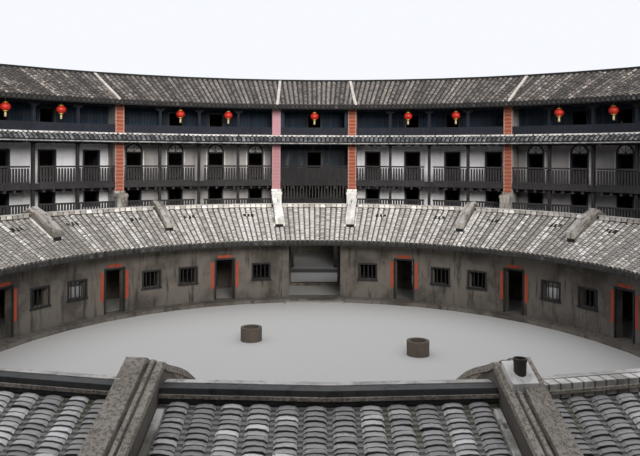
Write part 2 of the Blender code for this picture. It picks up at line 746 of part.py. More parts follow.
def main():
    clear_scene()
    earth = make_material("rammed_earth", (0.52, 0.42, 0.30), 0.95)
    brick = make_material("pier_brick", (0.55, 0.25, 0.16), 0.90)
    timber = make_material("dark_timber", (0.16, 0.12, 0.10), 0.80)
    tile = make_material("clay_tile", (0.22, 0.20, 0.19), 0.85)
    plaster = make_material("weathered_plaster", (0.55, 0.53, 0.50), 0.92)
    granite = make_material("granite", (0.45, 0.43, 0.40), 0.85)
    clay = make_material("chimney_clay", (0.48, 0.32, 0.24), 0.85)
    for quadrant in range(len(QUADRANTS)):
        build_earth_wall(quadrant, earth)
        build_party_walls(quadrant, brick)
        build_public_bay(quadrant, timber)
        build_main_roof(quadrant, tile)
        build_skirt_roof(quadrant, tile)
        build_inner_walls(quadrant, plaster)
        build_inner_roof(quadrant, tile)
    for number in range(1, len(QUADRANTS) * DWELLINGS_PER_QUADRANT + 1):
        build_dwelling(number, timber)
    build_well("well_curb_left", LEFT_WELL, granite)
    build_well("well_curb_right", RIGHT_WELL, granite)
    build_hall_step(granite)
    build_chimney(clay)


main()
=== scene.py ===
from math import atan, ceil, cos, pi, radians, sin, tan

import bpy
from mathutils import Matrix, Vector


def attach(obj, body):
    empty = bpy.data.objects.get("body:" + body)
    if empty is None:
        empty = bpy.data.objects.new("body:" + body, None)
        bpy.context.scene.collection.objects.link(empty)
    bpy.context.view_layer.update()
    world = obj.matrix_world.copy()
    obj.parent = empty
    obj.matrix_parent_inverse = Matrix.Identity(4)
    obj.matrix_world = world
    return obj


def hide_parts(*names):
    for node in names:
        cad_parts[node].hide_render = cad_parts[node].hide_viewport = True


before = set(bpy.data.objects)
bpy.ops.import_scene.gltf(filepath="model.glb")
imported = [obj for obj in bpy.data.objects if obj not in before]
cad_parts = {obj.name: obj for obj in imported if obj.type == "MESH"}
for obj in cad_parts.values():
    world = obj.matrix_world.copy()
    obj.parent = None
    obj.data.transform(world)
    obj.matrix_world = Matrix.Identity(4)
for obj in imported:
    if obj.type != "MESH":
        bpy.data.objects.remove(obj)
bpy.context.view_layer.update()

# Plan radii and heights shared with the solid parts
galleryEdge, frontInner = 12.25, 13.10
partyHalf = 0.15
floors = (2.10, 3.25, 4.80)
floorDepth = 0.16
railHeights = (0.55, 0.58)
quarter = radians(90.0)
chordAngle = quarter / 7
chordHalf = chordAngle / 2
bayAngle = chordHalf
wallFace = frontInner * cos(chordHalf)
edgeFace = galleryEdge * cos(chordHalf)
ridgeRadius, ridgeTop, courtPitch, outerPitch = 15.25, 7.2003, 0.35, 0.42
innerRidge, innerTop, innerPitch = 8.35, 2.6303, 0.54
innerFront = 7.35
quadrants = ("north_east", "north_west", "south_west", "south_east")
publicBays = ("east_gate_bay", "hall_bay", "west_gate_bay", "main_gate_bay")
# Width and height of the opening at each public bay, in the same order
gateSizes = ((0.75, 1.30), (1.50, 1.60), (0.75, 1.30), (0.95, 1.50))


class Wire:
    # One output socket, which takes part in sums as a number would
    def __init__(self, board, socket):
        self.board = board
        self.socket = socket

    def __add__(self, other):
        return self.board.maths("ADD", self, other)

    def __radd__(self, other):
        return self.board.maths("ADD", other, self)

    def __sub__(self, other):
        return self.board.maths("SUBTRACT", self, other)

    def __rsub__(self, other):
        return self.board.maths("SUBTRACT", other, self)

    def __mul__(self, other):
        return self.board.maths("MULTIPLY", self, other)

    def __rmul__(self, other):
        return self.board.maths("MULTIPLY", other, self)

    def __truediv__(self, other):
        return self.board.maths("DIVIDE", self, other)

    def __rtruediv__(self, other):
        return self.board.maths("DIVIDE", other, self)


class Board:
    # One node tree, for a material or for geometry
    def __init__(self, tree):
        self.tree = tree

    def plug(self, socket, value):
        if isinstance(value, Wire):
            self.tree.links.new(value.socket, socket)
        else:
            socket.default_value = value

    def node(self, kind, settings, inputs, output=0):
        made = self.tree.nodes.new(kind)
        for name, value in settings.items():
            setattr(made, name, value)
        for name, value in inputs.items():
            self.plug(made.inputs[name], value)
        return Wire(self, made.outputs[output])

    def maths(self, operation, *values):
        return self.node("ShaderNodeMath", {"operation": operation}, dict(enumerate(values)))

    def vector(self, x, y, z):
        return self.node("ShaderNodeCombineXYZ", {}, {0: x, 1: y, 2: z})

    def parts(self, vector):
        made = self.tree.nodes.new("ShaderNodeSeparateXYZ")
        self.plug(made.inputs[0], vector)
        return [Wire(self, output) for output in made.outputs]

    def scaled(self, vector, scale):
        return self.node("ShaderNodeVectorMath", {"operation": "MULTIPLY"}, {0: vector, 1: scale})

    def rise(self, value, low, high):
        settings = {"interpolation_type": "SMOOTHSTEP"}
        return self.node("ShaderNodeMapRange", settings, {0: value, 1: low, 2: high})

    def blend(self, factor, first, second):
        colours = [c if isinstance(c, Wire) else (*c, 1.0) for c in (first, second)]
        inputs = {0: factor, 6: colours[0], 7: colours[1]}
        return self.node("ShaderNodeMix", {"data_type": "RGBA"}, inputs, 2)

    def lay(self, first, second, value, low, high, amount=1.0):
        # The second colour over the first where a value rises from low to high
        return self.blend(self.rise(value, low, high) * amount, first, second)

    def floor(self, value):
        return self.maths("FLOOR", value)

    def fraction(self, value):
        return self.maths("FRACT", value)

    def most(self, first, second):
        return self.maths("MAXIMUM", first, second)


class Paint(Board):
    # A material with its object coordinates at hand
    def __init__(self, name, slot):
        self.material = bpy.data.materials.new(name)
        self.material.use_nodes = True
        self.slot = slot
        super().__init__(self.material.node_tree)
        self.shader = self.tree.nodes["Principled BSDF"]
        self.place = self.node("ShaderNodeTexCoord", {}, {}, "Object")
        self.normal = self.node("ShaderNodeTexCoord", {}, {}, "Normal")
        self.x, self.y, self.z = self.parts(self.place)
        self.radius = self.maths("SQRT", self.x * self.x + self.y * self.y)
        self.angle = self.maths("ARCTAN2", self.y, self.x)

    def noise(self, scale, detail=3.0, rough=0.55, stretch=None):
        vector = self.scaled(self.place, stretch) if stretch else self.place
        inputs = {"Vector": vector, "Scale": scale, "Detail": detail, "Roughness": rough}
        return self.node("ShaderNodeTexNoise", {}, inputs)

    def chance(self, *values):
        inputs = {"Vector": self.vector(*(list(values) + [0.0, 0.0])[:3])}
        return self.node("ShaderNodeTexWhiteNoise", {"noise_dimensions": "3D"}, inputs)

    def named(self, name):
        return self.node("ShaderNodeAttribute", {"attribute_name": name}, {}, "Fac")

    def joint(self, value, width):
        # 1 in a narrow line at every whole number, 0 between
        near = self.maths("ABSOLUTE", self.fraction(value + 0.5) - 0.5)
        return 1.0 - self.rise(near, width * 0.5, width)

    def done(self, colour, rough, height=None, depth=0.01, metallic=0.0):
        self.plug(self.shader.inputs["Base Color"], colour)
        self.plug(self.shader.inputs["Roughness"], rough)
        self.plug(self.shader.inputs["Metallic"], metallic)
        if height is not None:
            inputs = {"Height": height, "Distance": depth, "Strength": 0.8}
            bump = self.node("ShaderNodeBump", {}, inputs)
            self.plug(self.shader.inputs["Normal"], bump)
        self.material["slot"] = self.slot
        return self.material


def shaded(colour, share):
    return [c * share for c in colour]


def paintTiles(name, slot, dark, pale, moss, course=None, growth=0.4, sway=None):
    # Fired clay tiles, each with its own tone, flecked with lichen, with painted light raising the tone on
    # one side of the ring and painted shade at each tile's ends
    board = Paint(name, slot)
    tone = toneWithPaintedLight = board.named("tone")
    # Painted light: with a sway, the tone is raised on one side of the ring and lowered on the rest
    if sway:
        low, high, amount = sway
        toneWithPaintedLight = tone + amount * (board.rise(board.y / board.radius, low, high) - 0.5)
    blotch = board.noise(1.3, 4.0, 0.6)
    fine = board.noise(38.0, 3.0, 0.7)
    colour = board.lay(dark, pale, toneWithPaintedLight, 0.10, 0.95)
    colour = board.lay(colour, moss, blotch, 0.50, 0.70, growth)
    fleck = board.most(board.rise(fine, 0.60, 0.72) * 0.35, board.rise(tone, 0.84, 0.90) * 0.55)
    colour = board.blend(fleck, colour, [min(1.0, c * 1.5 + 0.05) for c in pale])
    lip = board.named("lip")
    shadow = board.most(board.rise(lip, 0.86, 0.97), 1.0 - board.rise(lip, 0.03, 0.16))
    colour = board.blend(shadow * 0.8, colour, shaded(dark, 0.22))
    if not course:
        return board.done(colour, 0.86 - 0.1 * fine, fine, 0.005)
    line = board.joint(board.radius / course, 0.010 / course)
    colour = board.blend(line * 0.75, colour, shaded(dark, 0.3))
    # Painted shade on steep and downward faces, the edges and undersides of the roof slabs
    upright = board.maths("ABSOLUTE", board.parts(board.normal)[2])
    colour = board.blend(1.0 - board.rise(upright, 0.3, 0.5), colour, shaded(dark, 0.15))
    return board.done(colour, 0.86 - 0.1 * fine, fine * 0.4 - line, 0.008)


def paintTimber(name, slot, dark, pale, spread=0.5):
    board = Paint(name, slot)
    grain = board.noise(5.0, 4.0, 0.6, (9.0, 9.0, 0.8))
    wear = board.noise(0.9, 3.0, 0.6)
    colour = board.lay(dark, pale, grain, 0.35, 0.7)
    colour = board.lay(colour, shaded(dark, 0.45), wear, 0.4, 0.75, spread)
    return board.done(colour, 0.78 + 0.12 * wear, grain, 0.004)


def paintPlaster(name, slot, fresh, stain, amount, scale=1.0):
    board = Paint(name, slot)
    cloud = board.noise(0.8 * scale, 5.0, 0.62)
    streak = board.noise(3.2 * scale, 4.0, 0.6, (1.6, 1.6, 0.22))
    grit = board.noise(55.0, 2.0, 0.6)
    colour = board.lay(fresh, stain, cloud, 0.42, 0.68, amount)
    colour = board.lay(colour, shaded(stain, 0.6), streak, 0.50, 0.72, amount)
    return board.done(colour, 0.9, grit * 0.3 + cloud, 0.006)


def paintFront(name, first, second, third, dirt):
    # The room fronts, storey by storey: stained plaster, two finishes, then dark boards, with painted shade
    # under each ceiling
    board = Paint(name, "dark_timber")
    cloud = board.noise(0.9, 5.0, 0.62)
    streak = board.noise(3.0, 4.0, 0.6, (1.8, 1.8, 0.25))
    boardWidth, boardLength, storey = 0.11, 1.3, floors[1] - floors[0]
    boards = board.angle * (frontInner / boardWidth)
    tone = board.chance(board.floor(boards), board.floor(board.z / boardLength))
    seam = board.joint(boards, 0.10)
    ground = board.lay(first, shaded(first, 0.4), cloud, 0.4, 0.7)
    middle = board.lay(second, (0.24, 0.22, 0.22), cloud, 0.45, 0.75, dirt)
    upper = board.lay(third, (0.25, 0.23, 0.23), cloud, 0.45, 0.75, dirt)
    # The top storey's boards are blue-black, partly their own dark timber and partly painted shade
    top = board.blend(tone, (0.008, 0.020, 0.037), (0.018, 0.038, 0.066))
    top = board.blend(seam, top, (0.004, 0.004, 0.004))
    raised, high, boarded = [board.rise(board.z, floor - 0.08, floor - 0.06) for floor in floors]
    colour = board.blend(raised, ground, middle)
    colour = board.blend(high, colour, upper)
    colour = board.lay(colour, (0.20, 0.18, 0.17), streak, 0.50, 0.75, 0.15 + 0.30 * high)
    colour = board.blend(boarded, colour, top)
    # Painted shade under each storey's ceiling, stronger on the upper storeys
    ceiling = board.fraction((board.z - floors[0]) / storey)
    colour = board.lay(colour, (0.06, 0.05, 0.05), ceiling, 0.75, 1.0, 0.05 + 0.20 * high)
    return board.done(colour, 0.88, cloud - seam * boarded, 0.006)


def paintBrick():
    # Red brick in half-size courses on the court ends, and grey plaster on the long sides
    board = Paint("pier_brick_courses", "pier_brick")
    course, length, toothing = 0.032, 0.125, 0.10
    mauveFrom, mauveTo = 1.64, 1.72
    nx, ny, _ = board.parts(board.normal)
    facing = board.maths("ABSOLUTE", (nx * board.x + ny * board.y) / board.radius)
    side = board.rise(facing, 0.69, 0.71)
    along = board.radius + side * (board.angle * galleryEdge - board.radius)
    row = board.floor(board.z / course)
    run = along / length + 0.5 * board.maths("MODULO", row, 2.0)
    tone = board.chance(board.floor(run), row, side)
    mortar = board.most(board.joint(run, 0.04), board.joint(board.z / course, 0.13))
    wear = board.noise(1.6, 4.0, 0.6)
    colour = board.blend(tone, (0.26, 0.042, 0.019), (0.36, 0.076, 0.036))
    colour = board.lay(colour, (0.36, 0.10, 0.06), wear, 0.5, 0.75, 0.4)
    colour = board.blend(mortar * 0.35, colour, (0.54, 0.31, 0.22))
    fourth = board.joint(board.z / (4 * course), 0.24)
    colour = board.blend(fourth * 0.36, colour, (0.58, 0.33, 0.24))
    low = 1.0 - board.rise(board.z, 2.0, 2.9)
    colour = board.blend(low * 0.55, colour, (0.40, 0.33, 0.29))
    turn = (board.angle + chordHalf) / chordAngle + 0.5
    across = board.maths("ABSOLUTE", board.fraction(turn) - 0.5) * (chordAngle * galleryEdge)
    tooth = board.rise(board.fraction(board.z / toothing), 0.45, 0.55)
    edge = board.rise(across, 0.108, 0.116) * (0.35 + 0.65 * tooth) * side
    colour = board.blend(edge * 0.6, colour, (0.62, 0.46, 0.38))
    stain = board.noise(2.5, 4.0, 0.6, (1.0, 1.0, 0.3))
    plaster = board.lay((0.34, 0.33, 0.33), (0.13, 0.125, 0.12), stain, 0.4, 0.7)
    colour = board.blend(side, plaster, colour)
    mauve = side * board.rise(board.angle, mauveFrom, mauveFrom + 0.005)
    mauve = mauve * (1.0 - board.rise(board.angle, mauveTo, mauveTo + 0.005)) * board.rise(board.z, 2.9, 2.95)
    upper = board.rise(board.z, 4.5, 4.6)
    colour = board.blend(mauve * (0.62 + 0.23 * upper), colour, (0.56, 0.31, 0.36))
    colour = board.blend(1.0 - board.rise(board.z, 0.2, 0.3), colour, (0.13, 0.12, 0.11))
    return board.done(colour, 0.9, wear * 0.4 - mortar * side, 0.004)


def paintEarth():
    # Rammed earth in lifts, with form joints, rain stains and straw
    board = Paint("rammed_earth_lifts", "rammed_earth")
    liftHeight, formLength, wallRadius, footTop = 0.21, 0.80, 18.1, 0.45
    lift = board.z / liftHeight
    row = board.floor(lift)
    run = board.angle * (wallRadius / formLength) + 0.5 * board.maths("MODULO", row, 2.0)
    block = board.chance(board.floor(run), row)
    line = board.most(board.joint(lift, 0.05), board.joint(run, 0.012))
    cloud = board.noise(0.55, 5.0, 0.62)
    straw = board.noise(42.0, 3.0, 0.7, (1.0, 1.0, 2.2))
    colour = board.blend(block, (0.50, 0.37, 0.23), (0.60, 0.46, 0.30))
    colour = board.lay(colour, (0.34, 0.26, 0.18), cloud, 0.42, 0.72, 0.55)
    colour = board.lay(colour, (0.70, 0.58, 0.40), straw, 0.60, 0.72, 0.4)
    inputs = {"Vector": board.place, "Scale": 4.5}
    stones = board.node("ShaderNodeTexVoronoi", {"feature": "DISTANCE_TO_EDGE"}, inputs)
    cell = board.node("ShaderNodeTexVoronoi", {}, inputs, "Color")
    rubble = board.blend(board.parts(cell)[0], (0.20, 0.19, 0.17), (0.42, 0.39, 0.34))
    rubble = board.blend(1.0 - board.rise(stones, 0.02, 0.07), rubble, (0.10, 0.09, 0.08))
    foot = 1.0 - board.rise(board.z, footTop - 0.01, footTop + 0.01)
    colour = board.blend(foot, colour, rubble)
    line = line * (1.0 - foot)
    wet = (1.0 - board.rise(board.z, 0.3, 1.5)) * board.rise(cloud, 0.3, 0.7)
    colour = board.blend(wet * 0.6, colour, (0.22, 0.19, 0.14))
    colour = board.blend(line * 0.5, colour, (0.22, 0.16, 0.11))
    return board.done(colour, 0.95, straw * 0.4 + cloud - line, 0.018)


def paintStone(name, slot, base, dark):
    board = Paint(name, slot)
    speck = board.noise(70.0, 2.0, 0.8)
    cloud = board.noise(2.2, 4.0, 0.6)
    colour = board.lay(base, shaded(base, 0.62), speck, 0.45, 0.65)
    colour = board.lay(colour, dark, cloud, 0.45, 0.75, 0.6)
    return board.done(colour, 0.85, speck * 0.4 + cloud, 0.008)


def paintRidge():
    # Limed ridge tiles on edge, with a dark joint between each two
    board = Paint("limed_ridge_tiles", "white_plaster")
    tilePitch = 0.082
    stain = board.noise(2.6, 4.0, 0.65)
    tick = board.joint(board.angle * (innerRidge / tilePitch), 0.10)
    colour = board.lay((0.74, 0.72, 0.68), (0.24, 0.23, 0.20), stain, 0.40, 0.66)
    colour = board.blend(tick * 0.75, colour, (0.05, 0.05, 0.045))
    return board.done(colour, 0.9, stain * 0.5 - tick, 0.006)


def paintCoping(name, base, dark, pale):
    # Old mortar, blackened in blotches, with grit and pale lichen
    board = Paint(name, "white_plaster")
    cloud = board.noise(1.7, 5.0, 0.7)
    grit = board.noise(48.0, 4.0, 0.75)
    fleck = board.noise(19.0, 3.0, 0.7)
    colour = board.lay(base, dark, cloud, 0.42, 0.66, 0.6)
    colour = board.lay(colour, shaded(dark, 0.4), grit, 0.46, 0.60, 0.65)
    colour = board.lay(colour, pale, fleck, 0.60, 0.68, 0.6)
    return board.done(colour, 0.95, grit + cloud, 0.010)


def paintPlain(name, slot, base, rough, metallic=0.0):
    board = Paint(name, slot)
    cloud = board.noise(7.0, 4.0, 0.6)
    fine = board.noise(60.0, 2.0, 0.6)
    colour = board.lay(base, shaded(base, 0.5), cloud, 0.4, 0.75, 0.45)
    return board.done(colour, rough + 0.1 * (fine - 0.5), fine, 0.002, metallic)


# Name, slot, dark, pale and moss, then the course of pans, the growth of moss and the painted light across
# the ring
tilePaints = {
    "tile": (
        "brown_tiles", "roof_tile", (0.050, 0.042, 0.038), (0.34, 0.295, 0.26), (0.14, 0.125, 0.11),
        None, 0.4, (0.80, 1.0, 0.38),
    ),
    # The eave tiles are nearly black, as painted shade under the eave
    "eaveTile": (
        "eave_tiles", "roof_tile", (0.008, 0.0075, 0.0075), (0.034, 0.031, 0.029), (0.020, 0.018, 0.016),
    ),
    "greyTile": (
        "grey_tiles", "roof_tile", (0.37, 0.358, 0.35), (0.95, 0.92, 0.88), (0.54, 0.50, 0.48),
        None, 0.4, (-0.995, -0.95, 0.5),
    ),
    "skirtTile": (
        "skirt_tiles", "roof_tile", (0.045, 0.048, 0.054), (0.26, 0.265, 0.28), (0.10, 0.105, 0.11),
    ),
    "farTile": (
        "pale_tiles", "pale_tile", (0.31, 0.285, 0.255), (0.86, 0.805, 0.735), (0.40, 0.37, 0.33),
        None, 0.4, (0.60, 1.0, 0.4),
    ),
    "farPan": (
        "far_pan_tiles", "roof_tile", (0.26, 0.24, 0.215), (0.50, 0.465, 0.42), (0.30, 0.29, 0.25), 0.058,
    ),
    # The main roof's pan tiles are clay darkened nearly to black, partly as painted shade in the gaps between
    # cover rows
    "pan": (
        "pan_tiles", "roof_tile", (0.036, 0.032, 0.030), (0.085, 0.076, 0.068), (0.060, 0.062, 0.045), 0.15,
    ),
    "innerPan": (
        "inner_pan_tiles", "roof_tile", (0.20, 0.192, 0.185), (0.42, 0.41, 0.38), (0.13, 0.15, 0.05),
        0.034, 0.8,
    ),
}
# Name, slot, fresh and stained, then the amount of stain and its scale
plasterPaints = {
    "ridgeDark": ("dark_ridge", "roof_tile", (0.085, 0.086, 0.085), (0.035, 0.036, 0.036), 0.6, 2.0),
    "ridge": ("ridge_mortar", "white_plaster", (0.60, 0.57, 0.54), (0.30, 0.28, 0.26), 0.8, 3.0),
    "lime": ("lime_white", "white_plaster", (0.86, 0.84, 0.80), (0.42, 0.39, 0.35), 0.75),
    "lichen": ("lichen_plaster", "white_plaster", (0.44, 0.41, 0.37), (0.13, 0.115, 0.10), 0.95, 2.0),
    "verge": ("verge_mortar", "white_plaster", (0.95, 0.93, 0.88), (0.22, 0.21, 0.18), 1.0, 3.0),
    "cream": ("cream_mortar", "white_plaster", (0.58, 0.525, 0.475), (0.32, 0.28, 0.25), 0.5, 2.0),
    "paleTile": ("pale_tile_ends", "pale_tile", (0.42, 0.41, 0.41), (0.12, 0.12, 0.125), 0.9, 6.0),
    "lunette": ("carved_lunette", "white_plaster", (0.95, 0.93, 0.91), (0.42, 0.41, 0.41), 0.6, 5.0),
    "innerWall": (
        "inner_wall_plaster", "inner_plaster", (0.17, 0.150, 0.128), (0.068, 0.058, 0.048), 0.95, 1.4,
    ),
}
# Name, slot, dark and pale, then the spread of wear
timberPaints = {
    "timber": ("weathered_timber", "dark_timber", (0.028, 0.025, 0.026), (0.068, 0.060, 0.058)),
    "post": ("post_timber", "dark_timber", (0.014, 0.013, 0.015), (0.036, 0.033, 0.035)),
    "rail": ("rail_timber", "dark_timber", (0.020, 0.0185, 0.0195), (0.051, 0.046, 0.047)),
    # The hall's rails are the rail timber darkened as painted shade in the deep hall bay
    "hallRail": ("hall_rail_timber", "dark_timber", (0.009, 0.0085, 0.009), (0.026, 0.023, 0.023)),
    "frame": ("frame_timber", "dark_timber", (0.026, 0.026, 0.030), (0.070, 0.066, 0.070)),
    # The slate boards are dark timber made blue-black as painted shade on the top storey
    "slate": ("slate_boards", "dark_timber", (0.0065, 0.008, 0.015), (0.017, 0.0195, 0.034), 0.3),
    "shade": ("shaded_timber", "dark_void", (0.009, 0.019, 0.034), (0.020, 0.038, 0.062), 0.3),
}
# Name, then ground, second and third storey, and the dirt on them
frontPaints = {
    # The white front's second storey is painted brighter than its third, as painted light against the shade
    # of the gallery above
    "whiteFront": ("white_front", (0.50, 0.44, 0.40), (0.96, 0.96, 0.97), (0.82, 0.815, 0.85), 0.25),
    "greyFront": ("grey_front", (0.50, 0.44, 0.40), (0.50, 0.485, 0.48), (0.42, 0.405, 0.40), 0.7),
    # The hall front is dark on every storey, as painted shade in the deep hall bay
    "hallFront": ("hall_front", (0.055, 0.050, 0.046), (0.040, 0.040, 0.041), (0.014, 0.022, 0.031), 0.0),
}
# Name, slot, base and dark
stonePaints = {
    "granite": ("speckled_granite", "granite", (0.42, 0.40, 0.37), (0.17, 0.17, 0.14)),
    "curb": ("weathered_curb", "granite", (0.125, 0.100, 0.078), (0.055, 0.045, 0.036)),
}
# Name, slot and base, then roughness and metal
plainPaints = {
    "clay": ("fired_clay", "chimney_clay", (0.065, 0.053, 0.043), 0.8),
    "red": ("lantern_cloth", "lantern_red", (0.54, 0.022, 0.010), 0.5),
    "gold": ("lantern_cap", "lantern_red", (0.62, 0.42, 0.10), 0.35, 0.6),
    "tassel": ("lantern_tassel", "lantern_red", (0.62, 0.50, 0.28), 0.8),
    "orange": ("orange_paper", "lantern_red", (0.44, 0.070, 0.028), 0.7),
    # Black boards stand in for shade in hollows and under overhangs, as painted shade
    "void": ("blackened_boards", "dark_void", (0.010, 0.0095, 0.0095), 0.9),
}
palette = {
    "ridgeLime": paintRidge(),
    "moss": paintCoping("mossy_coping", (0.47, 0.42, 0.36), (0.165, 0.138, 0.11), (0.56, 0.54, 0.50)),
    "brick": paintBrick(),
    "earth": paintEarth(),
}
for make, rows in (
    (paintTiles, tilePaints),
    (paintPlaster, plasterPaints),
    (paintTimber, timberPaints),
    (paintFront, frontPaints),
    (paintStone, stonePaints),
    (paintPlain, plainPaints),
):
    palette |= {key: make(*row) for key, row in rows.items()}
print("materials made")


class Mould:
    # Gathers closed solids into one mesh, each with its own material
    def __init__(self):
        self.points = []
        self.faces = []
        self.kinds = []
        self.tones = []
        self.lips = []
        self.materials = []

    def kind(self, paint):
        if paint not in self.materials:
            self.materials.append(paint)
        return self.materials.index(paint)

    def add(self, points, faces, paint):
        # A closed shell is turned so that it holds a volume above nothing
        volume = 0.0
        for face in faces:
            for second, third in zip(face[1:], face[2:]):
                volume += Vector(points[face[0]]).dot(Vector(points[second]).cross(Vector(points[third])))
        base = len(self.points)
        self.points += [tuple(point) for point in points]
        self.tones += [0.5] * len(points)
        self.lips += [0.5] * len(points)
        for face in faces:
            ordered = face if volume > 0.0 else face[::-1]
            self.faces.append([base + i for i in ordered])
        self.kinds += [self.kind(paint)] * len(faces)

    def loft(self, sections, paint):
        # Carries an outline through all sections and caps both ends
        count = len(sections[0])
        total = count * len(sections)
        middle = sum((Vector(p) for s in sections for p in s), Vector()) / total
        faces = [list(range(count)), list(range(total - 1, total - count - 1, -1))]
        for row in range(len(sections) - 1):
            for i in range(count):
                j = (i + 1) % count
                first, second = row * count, (row + 1) * count
                faces.append([first + j, first + i, second + i, second + j])
        shifted = [Vector(p) - middle for s in sections for p in s]
        base = len(self.points)
        self.add(shifted, faces, paint)
        for i in range(base, len(self.points)):
            self.points[i] = tuple(Vector(self.points[i]) + middle)

    def absorb(self, mesh, paint):
        # Takes in a mesh, in one paint or in what a function says of each face
        base = len(self.points)
        self.points += [tuple(v.co) for v in mesh.vertices]
        for kept, name in ((self.tones, "tone"), (self.lips, "lip")):
            stored = mesh.attributes.get(name)
            kept += [d.value for d in stored.data] if stored else [0.5] * len(mesh.vertices)
        self.faces += [[base + i for i in p.vertices] for p in mesh.polygons]
        named = paint if callable(paint) else lambda polygon: paint
        self.kinds += [self.kind(named(p)) for p in mesh.polygons]

    def done(self, name, replaced=None, smooth=False):
        mesh = bpy.data.meshes.new(name)
        mesh.from_pydata(self.points, [], self.faces)
        for paint in self.materials:
            mesh.materials.append(palette[paint])
        mesh.polygons.foreach_set("material_index", self.kinds)
        mesh.polygons.foreach_set("use_smooth", [smooth] * len(self.faces))
        for kept, label in ((self.tones, "tone"), (self.lips, "lip")):
            mesh.attributes.new(label, "FLOAT", "POINT").data.foreach_set("value", kept)
        obj = bpy.data.objects.new(name, mesh)
        bpy.context.scene.collection.objects.link(obj)
        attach(obj, "root")
        if replaced:
            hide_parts(*replaced)
        return obj


class Stand:
    # A local frame: across, away from the court, and up
    def __init__(self, angle, distance=0.0, shift=0.0):
        self.away = Vector((cos(angle), sin(angle), 0.0))
        self.across = Vector((-sin(angle), cos(angle), 0.0))
        self.origin = self.away * distance + self.across * shift

    def at(self, across, away, up):
        return self.origin + self.across * across + self.away * away + Vector((0.0, 0.0, up))

    def box(self, mould, paint, across, away, up):
        (left, right), (near, far) = across, away
        corners = ((left, near), (right, near), (right, far), (left, far))
        mould.loft([[self.at(a, d, z) for a, d in corners] for z in up], paint)

    def pair(self, mould, paint, inner, outer, away, up):
        # The same box on both sides of the middle
        for side in (-1, 1):
            self.box(mould, paint, sorted((side * inner, side * outer)), away, up)

    def slab(self, mould, paint, outline, away):
        mould.loft([[self.at(a, d, z) for a, z in outline] for d in away], paint)

    def rib(self, mould, paint, profile, across):
        mould.loft([[self.at(a, d, z) for d, z in profile] for a in across], paint)


class Repeater(Board):
    # A geometry tree with named inputs, which ends in realised instances of one piece
    def __init__(self, name, labels):
        super().__init__(bpy.data.node_groups.new(name, "GeometryNodeTree"))
        self.keys = {}
        face = self.tree.interface
        face.new_socket("Geometry", in_out="INPUT", socket_type="NodeSocketGeometry")
        face.new_socket("Geometry", in_out="OUTPUT", socket_type="NodeSocketGeometry")
        for label, kind in labels.items():
            item = face.new_socket(label, in_out="INPUT", socket_type="NodeSocket" + kind)
            self.keys[label] = item.identifier
        self.source = self.tree.nodes.new("NodeGroupInput")
        self.index = self.node("GeometryNodeInputIndex", {}, {})

    def given(self, label):
        return Wire(self, self.source.outputs[label])

    def random(self, low, high, salt, **more):
        inputs = {2: low, 3: high, "Seed": self.given("Seed") + salt, **more}
        return self.node("FunctionNodeRandomValue", {"data_type": "FLOAT"}, inputs, 1)

    def copies(self, points, turn, scale, row=None):
        # Half of a piece's tone comes from its row
        tone = self.random(0.0, 1.0, 0)
        if row:
            tone = 0.5 * tone + 0.5 * self.random(0.0, 1.0, 40, ID=row)
        settings = {"data_type": "FLOAT", "domain": "POINT"}
        inputs = {"Geometry": points, "Name": "tone", "Value": tone}
        points = self.node("GeometryNodeStoreNamedAttribute", settings, inputs)
        piece = self.node("GeometryNodeObjectInfo", {}, {"Object": self.given("Piece")}, "Geometry")
        inputs = {"Points": points, "Instance": piece, "Rotation": turn, "Scale": scale}
        placed = self.node("GeometryNodeInstanceOnPoints", {}, inputs)
        whole = self.node("GeometryNodeRealizeInstances", {}, {"Geometry": placed})
        paint = self.node("GeometryNodeSetMaterial", {}, {"Geometry": whole, "Material": self.given("Paint")})
        result = self.tree.nodes.new("NodeGroupOutput")
        self.tree.links.new(paint.socket, result.inputs[0])

    def run(self, values, spots=()):
        mesh = bpy.data.meshes.new("spots")
        mesh.from_pydata([tuple(spot) for spot in spots], [], [])
        obj = bpy.data.objects.new("repeated", mesh)
        bpy.context.scene.collection.objects.link(obj)
        modifier = obj.modifiers.new("Repeat", "NODES")
        modifier.node_group = self.tree
        for label, value in values.items():
            modifier[self.keys[label]] = value
        graph = bpy.context.evaluated_depsgraph_get()
        made = bpy.data.meshes.new_from_object(obj.evaluated_get(graph))
        obj.modifiers.remove(modifier)
        bpy.data.objects.remove(obj, do_unlink=True)
        return made


def fieldTree():
    # Tiles in rows up one slope of a ring of flat facets
    labels = {"Piece": "Object", "Paint": "Material", "Seed": "Int", "Rows": "Int", "Courses": "Int"}
    places = ("Start", "Facet", "Span", "Margin", "Near", "Step")
    sizes = ("Height", "Slope", "Share", "Thick", "Length", "Jitter")
    tree = Repeater("tile_field", labels | dict.fromkeys(places + sizes, "Float"))
    courses, rows = tree.given("Courses"), tree.given("Rows")
    start, facet, span, margin, near, step = map(tree.given, places)
    height, slope, share, thick, length, jitter = map(tree.given, sizes)
    row = tree.floor((tree.index + 0.5) / courses)
    course = tree.index - row * courses
    pitch = (span - 2.0 * margin) / rows
    angle = start + margin + (row + 0.5) * pitch
    middle = start + (tree.floor((angle - start) / facet) + 0.5) * facet
    turn = tree.maths("COSINE", angle - middle)
    reach = near + step * (course + tree.random(-0.12, 0.12, 3) * jitter)
    radius = reach * tree.maths("COSINE", facet * 0.5) / turn
    climb = tree.maths("ABSOLUTE", reach - near) * slope
    spot = tree.vector(
        radius * tree.maths("COSINE", angle), radius * tree.maths("SINE", angle),
        height + climb + tree.random(0.0, 0.008, 5) * jitter,
    )
    points = tree.node("GeometryNodePoints", {}, {"Count": rows * courses, "Position": spot})
    tilt = 0.0 - tree.maths("ARCTANGENT", slope)
    back = tree.maths("LESS_THAN", step, 0.0) * pi
    heading = angle + back + tree.random(-0.05, 0.05, 7) * jitter
    turned = tree.vector(tree.random(-0.06, 0.06, 9) * jitter, tilt, heading)
    tree.copies(points, turned, tree.vector(length, pitch * radius * share, thick), row)
    return tree


